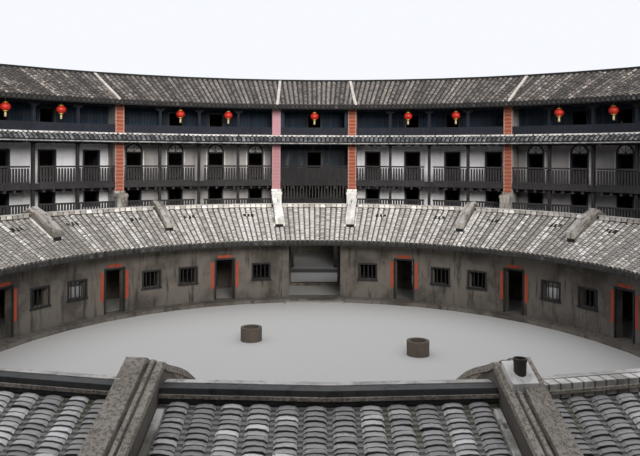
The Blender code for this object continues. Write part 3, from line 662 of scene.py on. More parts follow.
def rowTree():
    # Copies of a piece in an even row along the straight sides of a ring
    labels = {"Piece": "Object", "Paint": "Material", "Seed": "Int", "Each": "Int", "Sides": "Int"}
    sizes = ("First", "Turn", "Distance", "Half", "Height", "Size")
    tree = Repeater("side_row", labels | dict.fromkeys(sizes, "Float"))
    each = tree.given("Each")
    first, turn, distance, half, height, size = map(tree.given, sizes)
    side = tree.floor((tree.index + 0.5) / each)
    place = tree.index - side * each
    angle = first + side * turn
    across = ((place + 0.5) / each * 2.0 - 1.0) * half
    away, slant = tree.maths("COSINE", angle), tree.maths("SINE", angle)
    spot = tree.vector(distance * away - across * slant, distance * slant + across * away, height)
    points = tree.node("GeometryNodePoints", {}, {"Count": each * tree.given("Sides"), "Position": spot})
    tree.copies(points, tree.vector(0.0, 0.0, angle), tree.vector(size, size, size))
    return tree


def spotTree():
    # Copies of a piece at given spots, each turned to face the court
    tree = Repeater("facing_spots", {"Piece": "Object", "Paint": "Material", "Seed": "Int"})
    position = tree.node("GeometryNodeInputPosition", {}, {})
    x, y, _ = tree.parts(position)
    angle = tree.maths("ARCTAN2", y, x)
    turn = tree.vector(0.0, 0.0, angle)
    points = tree.node("GeometryNodeMeshToPoints", {}, {"Mesh": tree.given("Geometry")})
    tree.copies(points, turn, (1.0, 1.0, 1.0))
    return tree


tileField, sideRow, facingSpots = fieldTree(), rowTree(), spotTree()


def pattern(name, build):
    # A hidden piece for the trees to copy
    mould = Mould()
    build(mould)
    mesh = bpy.data.meshes.new(name)
    mesh.from_pydata(mould.points, [], mould.faces)
    mesh.attributes.new("lip", "FLOAT", "POINT").data.foreach_set("value", mould.lips)
    return bpy.data.objects.new(name, mesh)


def coverTile(steps):
    # A rounded tile of unit length and width, whose lower end stands a little proud
    def build(mould):
        def end(x, lift, width):
            outline = [(x, -width / 2, 0.0)]
            for step in range(1, steps):
                turn = pi * (1.0 - step / steps)
                outline.append((x, cos(turn) * width / 2, sin(turn) + lift))
            return outline + [(x, width / 2, 0.0)]
        mould.loft([end(0.0, 0.25, 1.0), end(1.04, -0.1, 0.9)], "tile")
        mould.lips = [1.0 if point[0] < 0.5 else 0.0 for point in mould.points]
    return pattern(f"cover_tile_{steps}", build)


threeStepTile, fourStepTile = coverTile(3), coverTile(4)

# An eave or ridge is one standing course: first and second radius, height, slope, share and thickness
mainTiles = {
    "rows": 119,
    "court": (11.77, 15.12),
    "courtRun": 0.15,
    "eave": (11.735, 11.765, 5.850, 4.0, 0.68, 0.016),
    "outerRows": 140,
    "outer": (19.07, 15.38),
    "outerRun": 0.15,
    "share": 0.68,
    "thick": 0.036,
}
skirtTiles = {
    "rows": 119,
    "courses": 4,
    "radii": (11.87, 12.24),
    "height": 4.6625,
    "slope": 0.625,
    "share": 0.70,
    "thick": 0.024,
}
innerTiles = {
    "margin": 1.05,
    "court": (6.77, 8.262),
    "courtPitch": 0.165,
    "courtRun": 0.058,
    "courtShare": 0.76,
    "eave": (6.736, 6.766, 1.652, 3.6, 0.76, 0.016),
    "ridge": (8.262, 8.287, 2.600, 4.0, 0.95, 0.014),
    "toe": (6.77, 7.34),
    "back": (9.97, 8.427),
    "backMiddle": 8.6,
    "backPitch": 0.174,
    "backRun": 0.034,
    "backShare": 0.84,
    "thick": 0.024,
    "pan": (8.413, 9.985),
    "panSunk": -0.008,
    "panThick": 0.026,
    "firewallHalf": 0.118,
}


def tileRows(
    mould, paint, seed, band, rows, radii, run, height, slope, share, thick, margin=0.0, piece=threeStepTile,
):
    # Rows over a band of (start angle, facet angle, facets), from the first of the radii to the second
    start, facet, facets = band
    near, far = radii
    courses = ceil(abs(far - near) / run)
    step = (far - near) / courses
    stretch = abs(step) / cos(atan(slope))
    values = {"Piece": piece, "Paint": palette[paint], "Seed": seed, "Rows": rows, "Courses": courses}
    values |= {"Start": start, "Facet": facet, "Span": facet * facets, "Margin": margin}
    values |= {"Near": near, "Step": step, "Height": height, "Slope": slope, "Share": share}
    values |= {"Thick": thick, "Length": stretch, "Jitter": 1.0}
    mould.absorb(tileField.run(values), paint)


def edgeRow(mould, paint, seed, band, rows, edge, margin=0.0):
    near, far, height, slope, share, thick = edge
    tileRows(mould, paint, seed, band, rows, (near, far), far - near, height, slope, share, thick, margin)


def ringBand(mould, paint, profile, angles):
    # A closed profile of (radius, height) points carried past the given corner angles
    mould.loft([[(r * cos(a), r * sin(a), z) for r, z in profile] for a in angles], paint)


def slopeBand(points, low, high):
    # The outline of a slab that follows a line of (distance, height) points
    return [(d, z + high) for d, z in points] + [(d, z + low) for d, z in reversed(points)]


def plate(near, far, low, high):
    return [(near, low), (far, low), (far, high), (near, high)]


def mainHeight(radius):
    pitch = courtPitch if radius < ridgeRadius else outerPitch
    return ridgeTop - abs(radius - ridgeRadius) * pitch


def innerHeight(radius):
    return innerTop - abs(radius - innerRidge) * innerPitch


def innerLine(radii):
    return [(radius, innerHeight(radius)) for radius in radii]


for q, quadrant in enumerate(quadrants):
    start = quarter * q - chordHalf
    halfBays, wholeChords = (start, bayAngle, 14), (start, chordAngle, 7)
    share, thick = mainTiles["share"], mainTiles["thick"]
    court = Mould()
    radii = mainTiles["court"]
    tileRows(
        court, "tile", 10 + q, halfBays, mainTiles["rows"], radii, mainTiles["courtRun"],
        mainHeight(radii[0]), courtPitch, share, thick,
    )
    edgeRow(court, "eaveTile", 15 + q, halfBays, mainTiles["rows"], mainTiles["eave"])
    court.done("court_tiles_" + quadrant)
    outer = Mould()
    radii = mainTiles["outer"]
    tileRows(
        outer, "tile", 20 + q, halfBays, mainTiles["outerRows"], radii, mainTiles["outerRun"],
        mainHeight(radii[0]), outerPitch, share, thick,
    )
    outer.done("outer_tiles_" + quadrant)
    skirt = Mould()
    radii = skirtTiles["radii"]
    tileRows(
        skirt, "skirtTile", 30 + q, wholeChords, skirtTiles["rows"], radii,
        (radii[1] - radii[0]) / skirtTiles["courses"] + 0.001, skirtTiles["height"], skirtTiles["slope"],
        skirtTiles["share"], skirtTiles["thick"],
    )
    skirt.done("skirt_tiles_" + quadrant)
print("main roof tiled")

publicAngle = radians(16.0)
dwellingAngle = (quarter - publicAngle) / 3


def innerBays(q):
    # Start angle, facet angle and number of facets between two firewalls
    start = quarter * q - publicAngle / 2
    spans = [(start, publicAngle / 2, 2)]
    for i in range(3):
        spans.append((start + publicAngle + i * dwellingAngle, dwellingAngle / 3, 3))
    return spans


def bayCorners(band):
    # The corner angles of one bay, short of the firewalls at its ends
    start, facet, facets = band
    trim = innerTiles["firewallHalf"] / innerRidge
    corners = [start + facet * i for i in range(facets + 1)]
    return [corners[0] + trim] + corners[1:-1] + [corners[-1] - trim]


for q, quadrant in enumerate(quadrants):
    court, back = Mould(), Mould()
    for i, band in enumerate(innerBays(q)):
        start, facet, facets = band
        place = 4 * q + i
        margin = radians(innerTiles["margin"])
        atFirewall = (start - margin, 2 * margin, 1)
        width = facet * facets - 2 * margin
        rows = round(width * innerRidge / innerTiles["courtPitch"])
        foot = innerHeight(innerTiles["court"][0])
        laid = (innerTiles["courtRun"], foot, innerPitch, innerTiles["courtShare"], innerTiles["thick"])
        tileRows(court, "farTile", 40 + place, band, rows, innerTiles["court"], *laid, margin)
        edgeRow(court, "eaveTile", 100 + place, band, rows, innerTiles["eave"], margin)
        edgeRow(court, "eaveTile", 120 + place, atFirewall, 2, innerTiles["eave"])
        edgeRow(court, "farTile", 140 + place, band, rows, innerTiles["ridge"], margin)
        rows = round(width * innerTiles["backMiddle"] / innerTiles["backPitch"])
        radii = innerTiles["back"]
        tileRows(
            back, "greyTile", 60 + place, band, rows, radii, innerTiles["backRun"],
            innerHeight(radii[0]) + innerTiles["panThick"], innerPitch,
            innerTiles["backShare"], innerTiles["thick"], margin, fourStepTile,
        )
        pan = slopeBand(innerLine(innerTiles["pan"]), innerTiles["panSunk"], innerTiles["panThick"])
        ringBand(back, "innerPan", pan, bayCorners(band))
        # Two short rows below the toe of the firewall
        tileRows(court, "farTile", 80 + place, atFirewall, 2, innerTiles["toe"], *laid)
    court.done("inner_court_tiles_" + quadrant)
    back.done("inner_back_tiles_" + quadrant)
print("inner roof tiled")


# Slab, rib and step are each first and last distance across, then low and high from the coping line
firewalls = {
    "foot": (7.40, 2.2173),
    "rake": 0.6779,
    "shoulder": 8.27,
    "crown": 2.8503,
    "toe": 7.36,
    "head": 0.115,
    "headHalf": 0.114,
    "headRadii": (7.55, 7.72, 7.88, 8.02, 8.15),
    "crownRadii": (8.31, innerRidge, 8.39, 8.43),
    "end": 9.99,
    "slab": (-0.010, 0.128, 0.0005, 0.034),
    "rib": (-0.062, -0.038, 0.0005, 0.024),
    "step": (-0.124, -0.078, -0.030, 0.012),
    "mouthAcross": (-0.095, 0.095),
    "mouthAway": (7.366, 7.3995),
    "mouthDown": (0.10, 0.02),
    "vergeAcross": (0.122, 0.168),
    "vergeRadii": ((8.47, 9.98), (7.40, 8.25)),
    "vergeBand": (-0.012, 0.046),
}
firewallSides = (-1, 1, 1, -1)


def firewallTop(radius):
    if radius < firewalls["shoulder"]:
        nearest, height = firewalls["foot"]
        return height + (radius - nearest) * firewalls["rake"]
    return firewalls["crown"] - abs(radius - innerRidge) * innerPitch


def firewallHead(radius):
    # Mortar built up in a hump over the court end
    shoulder = firewalls["shoulder"]
    share = min(1.0, max(0.0, (shoulder - radius) / (shoulder - firewalls["toe"])))
    return firewalls["head"] * sin(pi * min(share, 0.62) / 1.24)


def firewallCoping(mould, stand, side, paint):
    # Slab, rib and step along the whole top, with the built-up head, a black box of painted shade below it
    # and the verges
    court = (firewalls["toe"],) + firewalls["headRadii"]
    spots = court + (firewalls["shoulder"],) + firewalls["crownRadii"] + (firewalls["end"],)
    path = [(r, firewallTop(r) + firewallHead(r)) for r in spots]
    for part in ("slab", "rib", "step"):
        first, last, low, high = firewalls[part]
        stand.rib(mould, paint, slopeBand(path, low, high), sorted((side * first, side * last)))
    half, sunk = firewalls["headHalf"], 0.0004
    head = [(r, firewallTop(r) + firewallHead(r) - sunk) for r in court]
    head += [(r, firewallTop(r) + sunk) for r in reversed(court)]
    stand.rib(mould, paint, head, (-half, half))
    # A black box below the head's court end, as painted shade
    mouth = [firewalls["foot"][1] - down for down in firewalls["mouthDown"]]
    stand.box(mould, "void", firewalls["mouthAcross"], firewalls["mouthAway"], mouth)
    for turn in (-1, 1):
        across = sorted(turn * a for a in firewalls["vergeAcross"])
        for radii in firewalls["vergeRadii"]:
            stand.rib(mould, "verge", slopeBand(innerLine(radii), *firewalls["vergeBand"]), across)


ridgeCaps = {
    "court": [
        (8.270, 2.704), (8.2897, 2.704), (8.2897, 2.7206),
        (8.330, 2.7206), (8.330, 2.7290), (8.270, 2.7290),
    ],
    "back": [
        (8.3303, 2.7206), (8.4103, 2.7206), (8.4103, 2.630),
        (8.424, 2.630), (8.424, 2.7237), (8.3303, 2.7237),
    ],
    "roll": plate(8.4244, 8.440, 2.664, 2.686),
}
vents = {
    "radii": (7.84, 7.94),
    "angles": (14.4, 27.0, 38.4, 51.6, 63.0, 75.6),
    "half": 0.15,
    "high": 0.044,
    "tileAcross": 0.05,
    "tileHalf": 0.014,
    "tileHigh": 0.052,
}

for q, quadrant in enumerate(quadrants):
    mould = Mould()
    for i, (angle, _, _) in enumerate(innerBays(q)):
        # The firewalls beside the hall are limed, and those on the main gate's half have moss
        paint = "lime" if q == 1 and i < 2 else ("moss" if q > 1 else "lichen")
        firewallCoping(mould, Stand(angle), firewallSides[i], paint)
    mould.done("firewall_copings_" + quadrant)
    ridge = Mould()
    for bay, band in enumerate(innerBays(q)):
        corners = bayCorners(band)
        ringBand(ridge, "ridge", ridgeCaps["court"], corners)
        ringBand(ridge, "ridgeLime" if (q, bay) == (3, 1) else "ridgeDark", ridgeCaps["back"], corners)
        ringBand(ridge, "moss", ridgeCaps["roll"], corners)
    for angle in vents["angles"]:
        line = innerLine(vents["radii"])
        vent, half = Stand(radians(90.0 * q + angle)), vents["tileHalf"]
        # The vent's opening is a black block of painted shade
        vent.rib(ridge, "void", slopeBand(line, 0.0, vents["high"]), (-vents["half"], vents["half"]))
        cheek = slopeBand(line, 0.0, vents["tileHigh"])
        for across in (-vents["tileAcross"], vents["tileAcross"]):
            vent.rib(ridge, "farTile", cheek, (across - half, across + half))
    ridge.done("inner_ridge_" + quadrant)
print("firewalls and ridge dressed")

mainRibs = {
    "half": 0.05,
    "low": -0.01,
    "high": 0.062,
    "slopes": ((11.80, 15.125), (19.06, 15.375)),
    "steps": 8,
    "sides": (1, -1, -1, 1),
}
# Degrees by which a rib leans at foot and top, towards the nearest public bay
ribLeans = ((-0.7, 0.9), (0.0, 1.2), (-0.8, -0.3), (-0.8, 0.5))
partyAngles = [quarter * q - chordHalf + bays * bayAngle for q in range(4) for bays in (0, 2, 6, 10)]
ribs = Mould()
for i, angle in enumerate(partyAngles):
    side, (footLean, topLean) = mainRibs["sides"][i % 4], ribLeans[i % 4]
    for near, far in mainRibs["slopes"]:
        sections = []
        for step in range(mainRibs["steps"] + 1):
            share = step / mainRibs["steps"]
            radius = near + (far - near) * share
            lean = side * radians(footLean + (topLean - footLean) * share ** 0.8)
            stand, half, roof = Stand(angle + lean, radius), mainRibs["half"], mainHeight(radius)
            outline = plate(-half, half, roof + mainRibs["low"], roof + mainRibs["high"])
            sections.append([stand.at(a, 0.0, z) for a, z in outline])
        ribs.loft(sections, "cream")
ribs.done("main_roof_ribs")

skirtTrim = {
    "fillet": [(12.19, 4.868), (12.2495, 4.901), (12.2495, 4.925), (12.19, 4.893)],
    "ends": plate(11.836, 11.8485, 4.605, 4.637),
}
fillet = Mould()
for q in range(4):
    corners = [quarter * q - chordHalf + i * chordAngle for i in range(8)]
    ringBand(fillet, "lime", skirtTrim["fillet"], corners)
    ringBand(fillet, "paleTile", skirtTrim["ends"], corners)
fillet.done("skirt_fillet")

rafters = {
    "court": {"height": 5.8353, "pitch": courtPitch, "ends": (0.10, 0.46), "depth": 0.05, "width": 0.05},
    "outer": {"height": 5.4633, "pitch": -outerPitch, "ends": (-0.75, -0.06), "depth": 0.05, "width": 0.05},
    "inner": {"height": 1.9703, "pitch": innerPitch, "ends": (-0.52, -0.02), "depth": 0.045, "width": 0.04},
    "each": 8,
    "innerEach": 7,
    "courtEave": 11.75,
    "outerEave": 19.05,
}


def rafter(name):
    size = rafters[name]

    def build(mould):
        line = [(d, size["height"] + d * size["pitch"] - 0.0006) for d in size["ends"]]
        across = (-size["width"] / 2, size["width"] / 2)
        Stand(0.0).rib(mould, "timber", slopeBand(line, -size["depth"], 0.0), across)
    return pattern(name + "_rafter", build)


def sideCopies(mould, piece, paint, seed, each, sides, first, turn, distance, half, height=0.0):
    # Copies along the straight sides of a ring, so many on each
    values = {"Piece": piece, "Paint": palette[paint], "Seed": seed, "Each": each, "Sides": sides}
    values |= {"First": first, "Turn": turn, "Distance": distance, "Half": half}
    values |= {"Height": height, "Size": 1.0}
    mould.absorb(sideRow.run(values), paint)


roofRafters = [(rafter(name), rafters[name + "Eave"]) for name in ("court", "outer")]
for q, quadrant in enumerate(quadrants):
    mould = Mould()
    for piece, corner in roofRafters:
        distance, half = corner * cos(bayAngle / 2), corner * sin(bayAngle / 2)
        first = quarter * q - bayAngle / 2
        sideCopies(mould, piece, "timber", 3, rafters["each"], 14, first, bayAngle, distance, half)
    mould.done("rafters_" + quadrant)
print("main roof trimmed")


def cutBy(obj, outlines):
    # Takes closed bands out of a copied solid
    mould = Mould()
    for sections in outlines:
        mould.loft(sections, "timber")
    mesh = bpy.data.meshes.new("cutter")
    mesh.from_pydata(mould.points, [], mould.faces)
    cutter = bpy.data.objects.new("cutter", mesh)
    bpy.context.scene.collection.objects.link(cutter)
    modifier = obj.modifiers.new("Cut", "BOOLEAN")
    modifier.operation = "DIFFERENCE"
    modifier.solver = "EXACT"
    modifier.object = cutter
    graph = bpy.context.evaluated_depsgraph_get()
    made = bpy.data.meshes.new_from_object(obj.evaluated_get(graph))
    obj.modifiers.remove(modifier)
    bpy.data.objects.remove(cutter, do_unlink=True)
    return made


bays = {
    "balusters": 26,
    "hallBalusters": 40,
    "balusterWidth": 0.062,
    "balusterDepth": 0.018,
    "balusterEnds": (0.04, 0.50),
    "handrail": 0.055,
    "handrailHalf": 0.024,
    "footRail": (0.018, 0.075),
    "footRailHalf": 0.016,
    "edgeBoard": (-0.15, 0.015),
    "edgeBoardAway": (-0.012, 0.02),
    "joists": 8,
    "joistHalf": 0.03,
    "joistLength": 0.80,
    "joistDepth": 0.09,
    "postHalf": 0.043,
    "postTop": 5.77,
    "postInset": 0.05,
    "bracketWidth": 0.36,
    "bracketHeight": 0.12,
    "bracketTip": 0.04,
    "bracketTops": (4.64, 5.80),
    "bracketAway": (-0.012, 0.12),
    "frameWidth": 0.045,
    "frameProud": 0.022,
}
dwellingOpenings = (
    ("window", "door", "door", "window"),
    ("tall", "tall", "tall", "tall"),
    (None, "door", "door", None),
)
# Width, then foot above the floor, and spring and crown above the foot
openings = {
    "window": (0.44, 0.38, 0.44, 0.44),
    "door": (0.46, 0.04, 0.84, 0.84),
    "tall": (0.50, 0.04, 1.02, 1.02),
    "arch": (0.50, 0.04, 1.01, 1.26),
}
railDistance = (galleryEdge + 0.01) * cos(chordHalf) + 0.015
edgeHalf = galleryEdge * sin(chordHalf) - partyHalf / cos(chordHalf)


def openingSize(kind, floor, arched):
    # Width, foot, spring and crown of one opening
    width, foot, spring, crown = openings["arch" if arched and kind == "tall" else kind]
    low = floor + foot
    return width, low, low + spring, low + crown


def archHead(mould, paint, stand, half, rim, spring, steps, away):
    # Blocks round a half-round head, whose inner outline it returns
    inner, outer = [
        [(r * cos(pi * i / steps), spring + r * sin(pi * i / steps)) for i in range(steps + 1)]
        for r in (half, half + rim)
    ]
    for i in range(steps):
        stand.slab(mould, paint, [inner[i], inner[i + 1], outer[i + 1], outer[i]], away)
    return inner


def lunetteFan(mould, paint, stand, half, rim, low, spring, inner):
    # A carved board in an arch with its rail and spokes, and white strips outside the jambs
    stand.slab(mould, "lunette", inner, (0.03, 0.05))
    stand.pair(mould, "lunette", half + rim + 0.02, half + rim + 0.05, (-0.010, 0.02), (low, spring + 0.04))
    stand.box(mould, paint, (-half, half), (-0.005, 0.05), (spring - 0.05, spring))
    lean = 0.010
    for turn in (0.25, 0.5, 0.75):
        tip, top = half * cos(pi * turn) * 0.95, spring + half * sin(pi * turn) - 0.02
        outline = [(-lean, spring), (lean, spring), (tip + lean, top), (tip - lean, top)]
        stand.slab(mould, paint, outline, (0.015, 0.032))


def frameOpening(mould, stand, size, paint, proud, filled):
    # Jambs and head round an opening, with a fan in an arch and a sill below a filled window
    width, low, spring, crown = size
    half, rim, back = width / 2, bays["frameWidth"], 0.02
    stand.pair(mould, paint, half, half + rim, (-proud, back), (low - 0.02, spring))
    if crown > spring:
        inner = archHead(mould, paint, stand, half, rim, spring, 8, (-proud, back))
        lunetteFan(mould, paint, stand, half, rim, low, spring, inner)
    else:
        stand.box(mould, paint, (-half - rim, half + rim), (-proud, back), (spring, spring + rim))
    if filled:
        reach = half + rim + 0.02
        stand.box(mould, paint, (-reach, reach), (-proud - 0.01, back), (low - 0.05, low))


def baluster(mould):
    half, deep = bays["balusterWidth"] / 2, bays["balusterDepth"] / 2
    Stand(0.0).box(mould, "rail", (-half, half), (-deep, deep), bays["balusterEnds"])


def joist(mould):
    half = bays["joistHalf"]
    Stand(0.0).box(mould, "timber", (-half, half), (0.0, bays["joistLength"]), (-bays["joistDepth"], 0.0))


balusterPiece, joistPiece = pattern("baluster", baluster), pattern("joist", joist)


def dressChord(mould, chord, kinds, arched, balusters, rail="rail"):
    # Frames, rails, balusters and joists along one straight side of the gallery
    angle = chord * chordAngle
    stand = Stand(angle)
    shifts = (-1, 1) if len(kinds[0]) == 2 else (0,)
    reach = wallFace * tan(bayAngle / 2)
    for floor, row in zip(floors, kinds):
        for side, kind in zip(shifts, row):
            if kind:
                spot, size = Stand(angle, wallFace, side * reach), openingSize(kind, floor, arched)
                frameOpening(mould, spot, size, "frame", bays["frameProud"], kind == "window")
    across = (-edgeHalf, edgeHalf)
    for floor, height in zip(floors, railHeights):
        top = floor + height
        for half, up in (
            (bays["handrailHalf"], (top - bays["handrail"], top)),
            (bays["footRailHalf"], [floor + z for z in bays["footRail"]]),
        ):
            stand.box(mould, rail, across, (railDistance - half, railDistance + half), up)
        away, up = [edgeFace + d for d in bays["edgeBoardAway"]], [floor + z for z in bays["edgeBoard"]]
        stand.box(mould, rail, across, away, up)
        sideCopies(
            mould, balusterPiece, rail, 1, balusters, 1, angle, chordAngle, railDistance, edgeHalf, floor,
        )
    for floor in floors:
        sideCopies(
            mould, joistPiece, "timber", 1, bays["joists"], 1, angle, chordAngle,
            edgeFace + 0.02, edgeHalf, floor - floorDepth - 0.0001,
        )


def faceKind(polygon, chords, front):
    # The paint of one face of the copied solid, by where it lies and looks; the top storey and the deep back
    # get painted shade
    centre = polygon.center
    for chord in chords:
        away = Vector((cos(chord * chordAngle), sin(chord * chordAngle), 0.0))
        reach, facing = centre.dot(away), polygon.normal.dot(away)
        if abs(reach - wallFace) < 0.004 and facing < -0.99:
            return front
        # Front faces on the top storey get slate boards darkened as painted shade
        if abs(facing) > 0.99 and reach < edgeFace + 0.05 and centre.z > floors[2] - 0.02:
            return "slate"
    if centre.z > floors[2] - 0.01 or centre.xy.length > frontInner - 0.05:
        return "shade"
    return "post" if abs(polygon.normal.z) < 0.1 and polygon.area < 0.3 else "timber"


def railBands(chords):
    # The solid's rail panels, which the balusters replace
    first = chords[0] * chordAngle - chordHalf
    corners = [first + i * chordAngle for i in range(len(chords) + 1)]
    bands = []
    for floor, height in zip(floors, railHeights):
        outline = plate(galleryEdge + 0.006, galleryEdge + 0.046, floor + 0.0004, floor + height + 0.02)
        bands.append([[Stand(angle).at(0.0, d, z) for d, z in outline] for angle in corners])
    return bands


def dwellingPosts(start):
    # A stand at each of the three posts between a dwelling's party walls
    stands = []
    for i in (1, 2, 3):
        distance = (galleryEdge + bays["postInset"]) * (cos(chordHalf) if i % 2 else 1.0)
        stands.append(Stand(start + i * bayAngle, distance))
    return stands


def postFlanks(start):
    # Slivers off both sides of each gallery post, storey by storey
    lows = [-0.01] + [floor + 0.0004 for floor in floors]
    highs = [floor - floorDepth - 0.0004 for floor in floors] + [bays["postTop"]]
    bands = []
    for post in dwellingPosts(start):
        for storey in zip(lows, highs):
            for side in (-1, 1):
                corners = plate(*sorted((side * bays["postHalf"], side * 0.08)), -0.002, 0.15)
                bands.append([[post.at(a, d, z) for a, d in corners] for z in storey])
    return bands


def dressDwelling(number):
    q, place = divmod(number - 1, 3)
    chords = [7 * q + 1 + 2 * place, 7 * q + 2 + 2 * place]
    arched = number % 2 == 0
    front = "greyFront" if arched else "whiteFront"
    name = f"dwelling_{number:02d}"
    mould = Mould()
    start = chords[0] * chordAngle - chordHalf
    solid = cutBy(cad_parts[name], railBands(chords) + postFlanks(start))
    mould.absorb(solid, lambda polygon: faceKind(polygon, chords, front))
    for i, chord in enumerate(chords):
        kinds = [row[2 * i:2 * i + 2] for row in dwellingOpenings]
        dressChord(mould, chord, kinds, arched, bays["balusters"])
    half, tip, post = bays["bracketWidth"] / 2, bays["bracketTip"], bays["postHalf"]
    for stand in dwellingPosts(start):
        for ceiling in bays["bracketTops"]:
            foot = ceiling - bays["bracketHeight"]
            outline = [(-post, foot), (post, foot), (half, ceiling - tip)]
            outline += [(half, ceiling), (-half, ceiling), (-half, ceiling - tip)]
            stand.slab(mould, "post", outline, bays["bracketAway"])
    mould.done(name + "_dressed", [name])


for number in range(1, 13):
    dressDwelling(number)
print("dwellings dressed")

hallScreen = {"bars": 22, "half": 0.02, "away": (0.03, 0.06), "up": (2.10, 3.09)}
for q, name in enumerate(publicBays):
    chord = 7 * q
    mould = Mould()
    solid = cutBy(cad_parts[name], railBands([chord]))
    mould.absorb(solid, lambda polygon: faceKind(polygon, [chord], "hallFront"))
    dressChord(mould, chord, (("door",), ("tall",), ("door",)), False, bays["hallBalusters"], "hallRail")
    if name == "hall_bay":
        stand, half = Stand(chord * chordAngle), hallScreen["half"]
        away = [railDistance + d for d in hallScreen["away"]]
        for i in range(hallScreen["bars"]):
            across = -edgeHalf + (i + 0.5) * 2 * edgeHalf / hallScreen["bars"]
            stand.box(mould, "timber", (across - half, across + half), away, hallScreen["up"])
    mould.done(name + "_dressed", [name])
print("public bays dressed")

piers = {
    "limed": (4, 5),
    "capHalf": 0.185,
    "cap": (2.795, 2.872),
    "cushionTop": 2.905,
    "neckTop": 2.975,
    "foot": 1.96,
    "footFront": 11.875,
    "back": 12.32,
    "toothSteps": (-0.105, 0.0, 0.105),
    "toothHalf": 0.038,
    "toothUp": (2.62, 2.90),
}
pierTrim = Mould()
for i, angle in enumerate(partyAngles):
    stand = Stand(angle)
    half, front, back = piers["capHalf"], piers["footFront"], piers["back"]
    low, high = piers["cap"]
    for inset, away, up in (
        (0.0, (front, back), (low, high)),
        (0.02, (front + 0.02, back - 0.02), (high, piers["cushionTop"])),
        (0.01, (12.225, back), (piers["cushionTop"], piers["neckTop"])),
        (0.015, (front + 0.012, front + 0.025), (piers["foot"], low)),
    ):
        paint = "lime" if i in piers["limed"] else "lichen"
        stand.box(pierTrim, paint, (-half + inset, half - inset), away, up)
    if i not in piers["limed"]:
        half, away = piers["toothHalf"], (front - 0.015, front + 0.02)
        for across in piers["toothSteps"]:
            stand.box(pierTrim, paint, (across - half, across + half), away, piers["toothUp"])
pierTrim.done("pier_caps")

# The places of each dwelling's two lanterns are in bays from its party wall
lanterns = {
    "radius": 0.152,
    "squash": 0.88,
    "height": 5.60,
    "distance": 12.07,
    "places": ((1.28, 2.52), (1.45, 2.72), (1.28, 2.52)),
}


def turnedShape(mould, paint, profile, sides, where=Vector()):
    # A closed shape of (radius, height) points turned about an upright axis
    points, faces = [], []
    for radius, height in profile:
        for i in range(sides):
            turn = 2 * pi * i / sides
            points.append(Vector((radius * cos(turn), radius * sin(turn), height)) + where)
    for row in range(len(profile)):
        after = (row + 1) % len(profile)
        for i in range(sides):
            j = (i + 1) % sides
            faces.append([row * sides + i, row * sides + j, after * sides + j, after * sides + i])
    mould.add(points, faces, paint)


def lanternBody(mould):
    radius, squash = lanterns["radius"], lanterns["squash"]
    profile = [(0.004, -radius * squash)]
    for step in range(1, 8):
        turn = pi * (step / 8 - 0.5)
        profile.append((radius * cos(turn), radius * squash * sin(turn)))
    profile.append((0.004, radius * squash))
    turnedShape(mould, "red", profile, 16)


def lanternGold(mould):
    top = lanterns["radius"] * lanterns["squash"]
    cap = [(0.004, top - 0.03), (0.075, top - 0.03), (0.070, top + 0.02), (0.004, top + 0.025)]
    foot = [(0.004, -top - 0.02), (0.066, -top - 0.015), (0.072, -top + 0.03), (0.004, -top + 0.03)]
    turnedShape(mould, "gold", cap, 12)
    turnedShape(mould, "gold", foot, 12)
    turnedShape(mould, "gold", plate(0.002, 0.005, top + 0.02, top + 0.19), 6)


def lanternTassel(mould):
    top = lanterns["radius"] * lanterns["squash"]
    profile = [(0.003, -top - 0.17), (0.036, -top - 0.16), (0.030, -top - 0.02), (0.003, -top - 0.02)]
    turnedShape(mould, "tassel", profile, 10)


spots = []
for q in range(4):
    turns = [bayAngle]
    for place, pair in enumerate(lanterns["places"]):
        turns += [(2 + 4 * place + along) * bayAngle for along in pair]
    radius = lanterns["distance"]
    for turn in turns:
        angle = quarter * q - chordHalf + turn
        spots.append((radius * cos(angle), radius * sin(angle), lanterns["height"]))
hung = Mould()
for build, paint in ((lanternBody, "red"), (lanternGold, "gold"), (lanternTassel, "tassel")):
    values = {"Piece": pattern("lantern_" + paint, build), "Paint": palette[paint], "Seed": 5}
    hung.absorb(facingSpots.run(values, spots), paint)
hung.done("lanterns", smooth=True)
print("piers and lanterns dressed")

innerDoor = {
    "size": (0.50, 0.10, 1.21, 1.21),
    "strip": (0.31, 0.395),
    "stripUp": (0.42, 1.16),
    "headStrip": (-0.2, 0.2),
    "headStripUp": (1.27, 1.345),
    "paper": (-0.006, 0.0),
}
innerWindow = {
    "size": (0.46, 0.62, 1.04, 1.04),
    "bars": (-0.12, 0.0, 0.12),
    "barHalf": 0.012,
    "barAway": (0.08, 0.10),
}
innerGate = {"jamb": 0.09, "head": 0.10, "foot": 0.095, "away": (-0.03, 0.02)}


def dressInnerGate(mould, stand, width, top):
    half, away, head = width / 2, innerGate["away"], top + innerGate["head"]
    stand.pair(mould, "post", half, half + innerGate["jamb"], away, (innerGate["foot"], head))
    stand.box(mould, "post", (-half, half), away, (top, head))


def dressInnerDoor(mould, stand):
    # A frame with blank paper strips beside and above it
    frameOpening(mould, stand, innerDoor["size"], "post", 0.02, False)
    stand.pair(mould, "orange", *innerDoor["strip"], innerDoor["paper"], innerDoor["stripUp"])
    stand.box(mould, "orange", innerDoor["headStrip"], innerDoor["paper"], innerDoor["headStripUp"])


def dressInnerWindow(mould, stand):
    _, low, high, _ = innerWindow["size"]
    frameOpening(mould, stand, innerWindow["size"], "post", 0.02, True)
    half = innerWindow["barHalf"]
    for bar in innerWindow["bars"]:
        stand.box(mould, "post", (bar - half, bar + half), innerWindow["barAway"], (low, high))


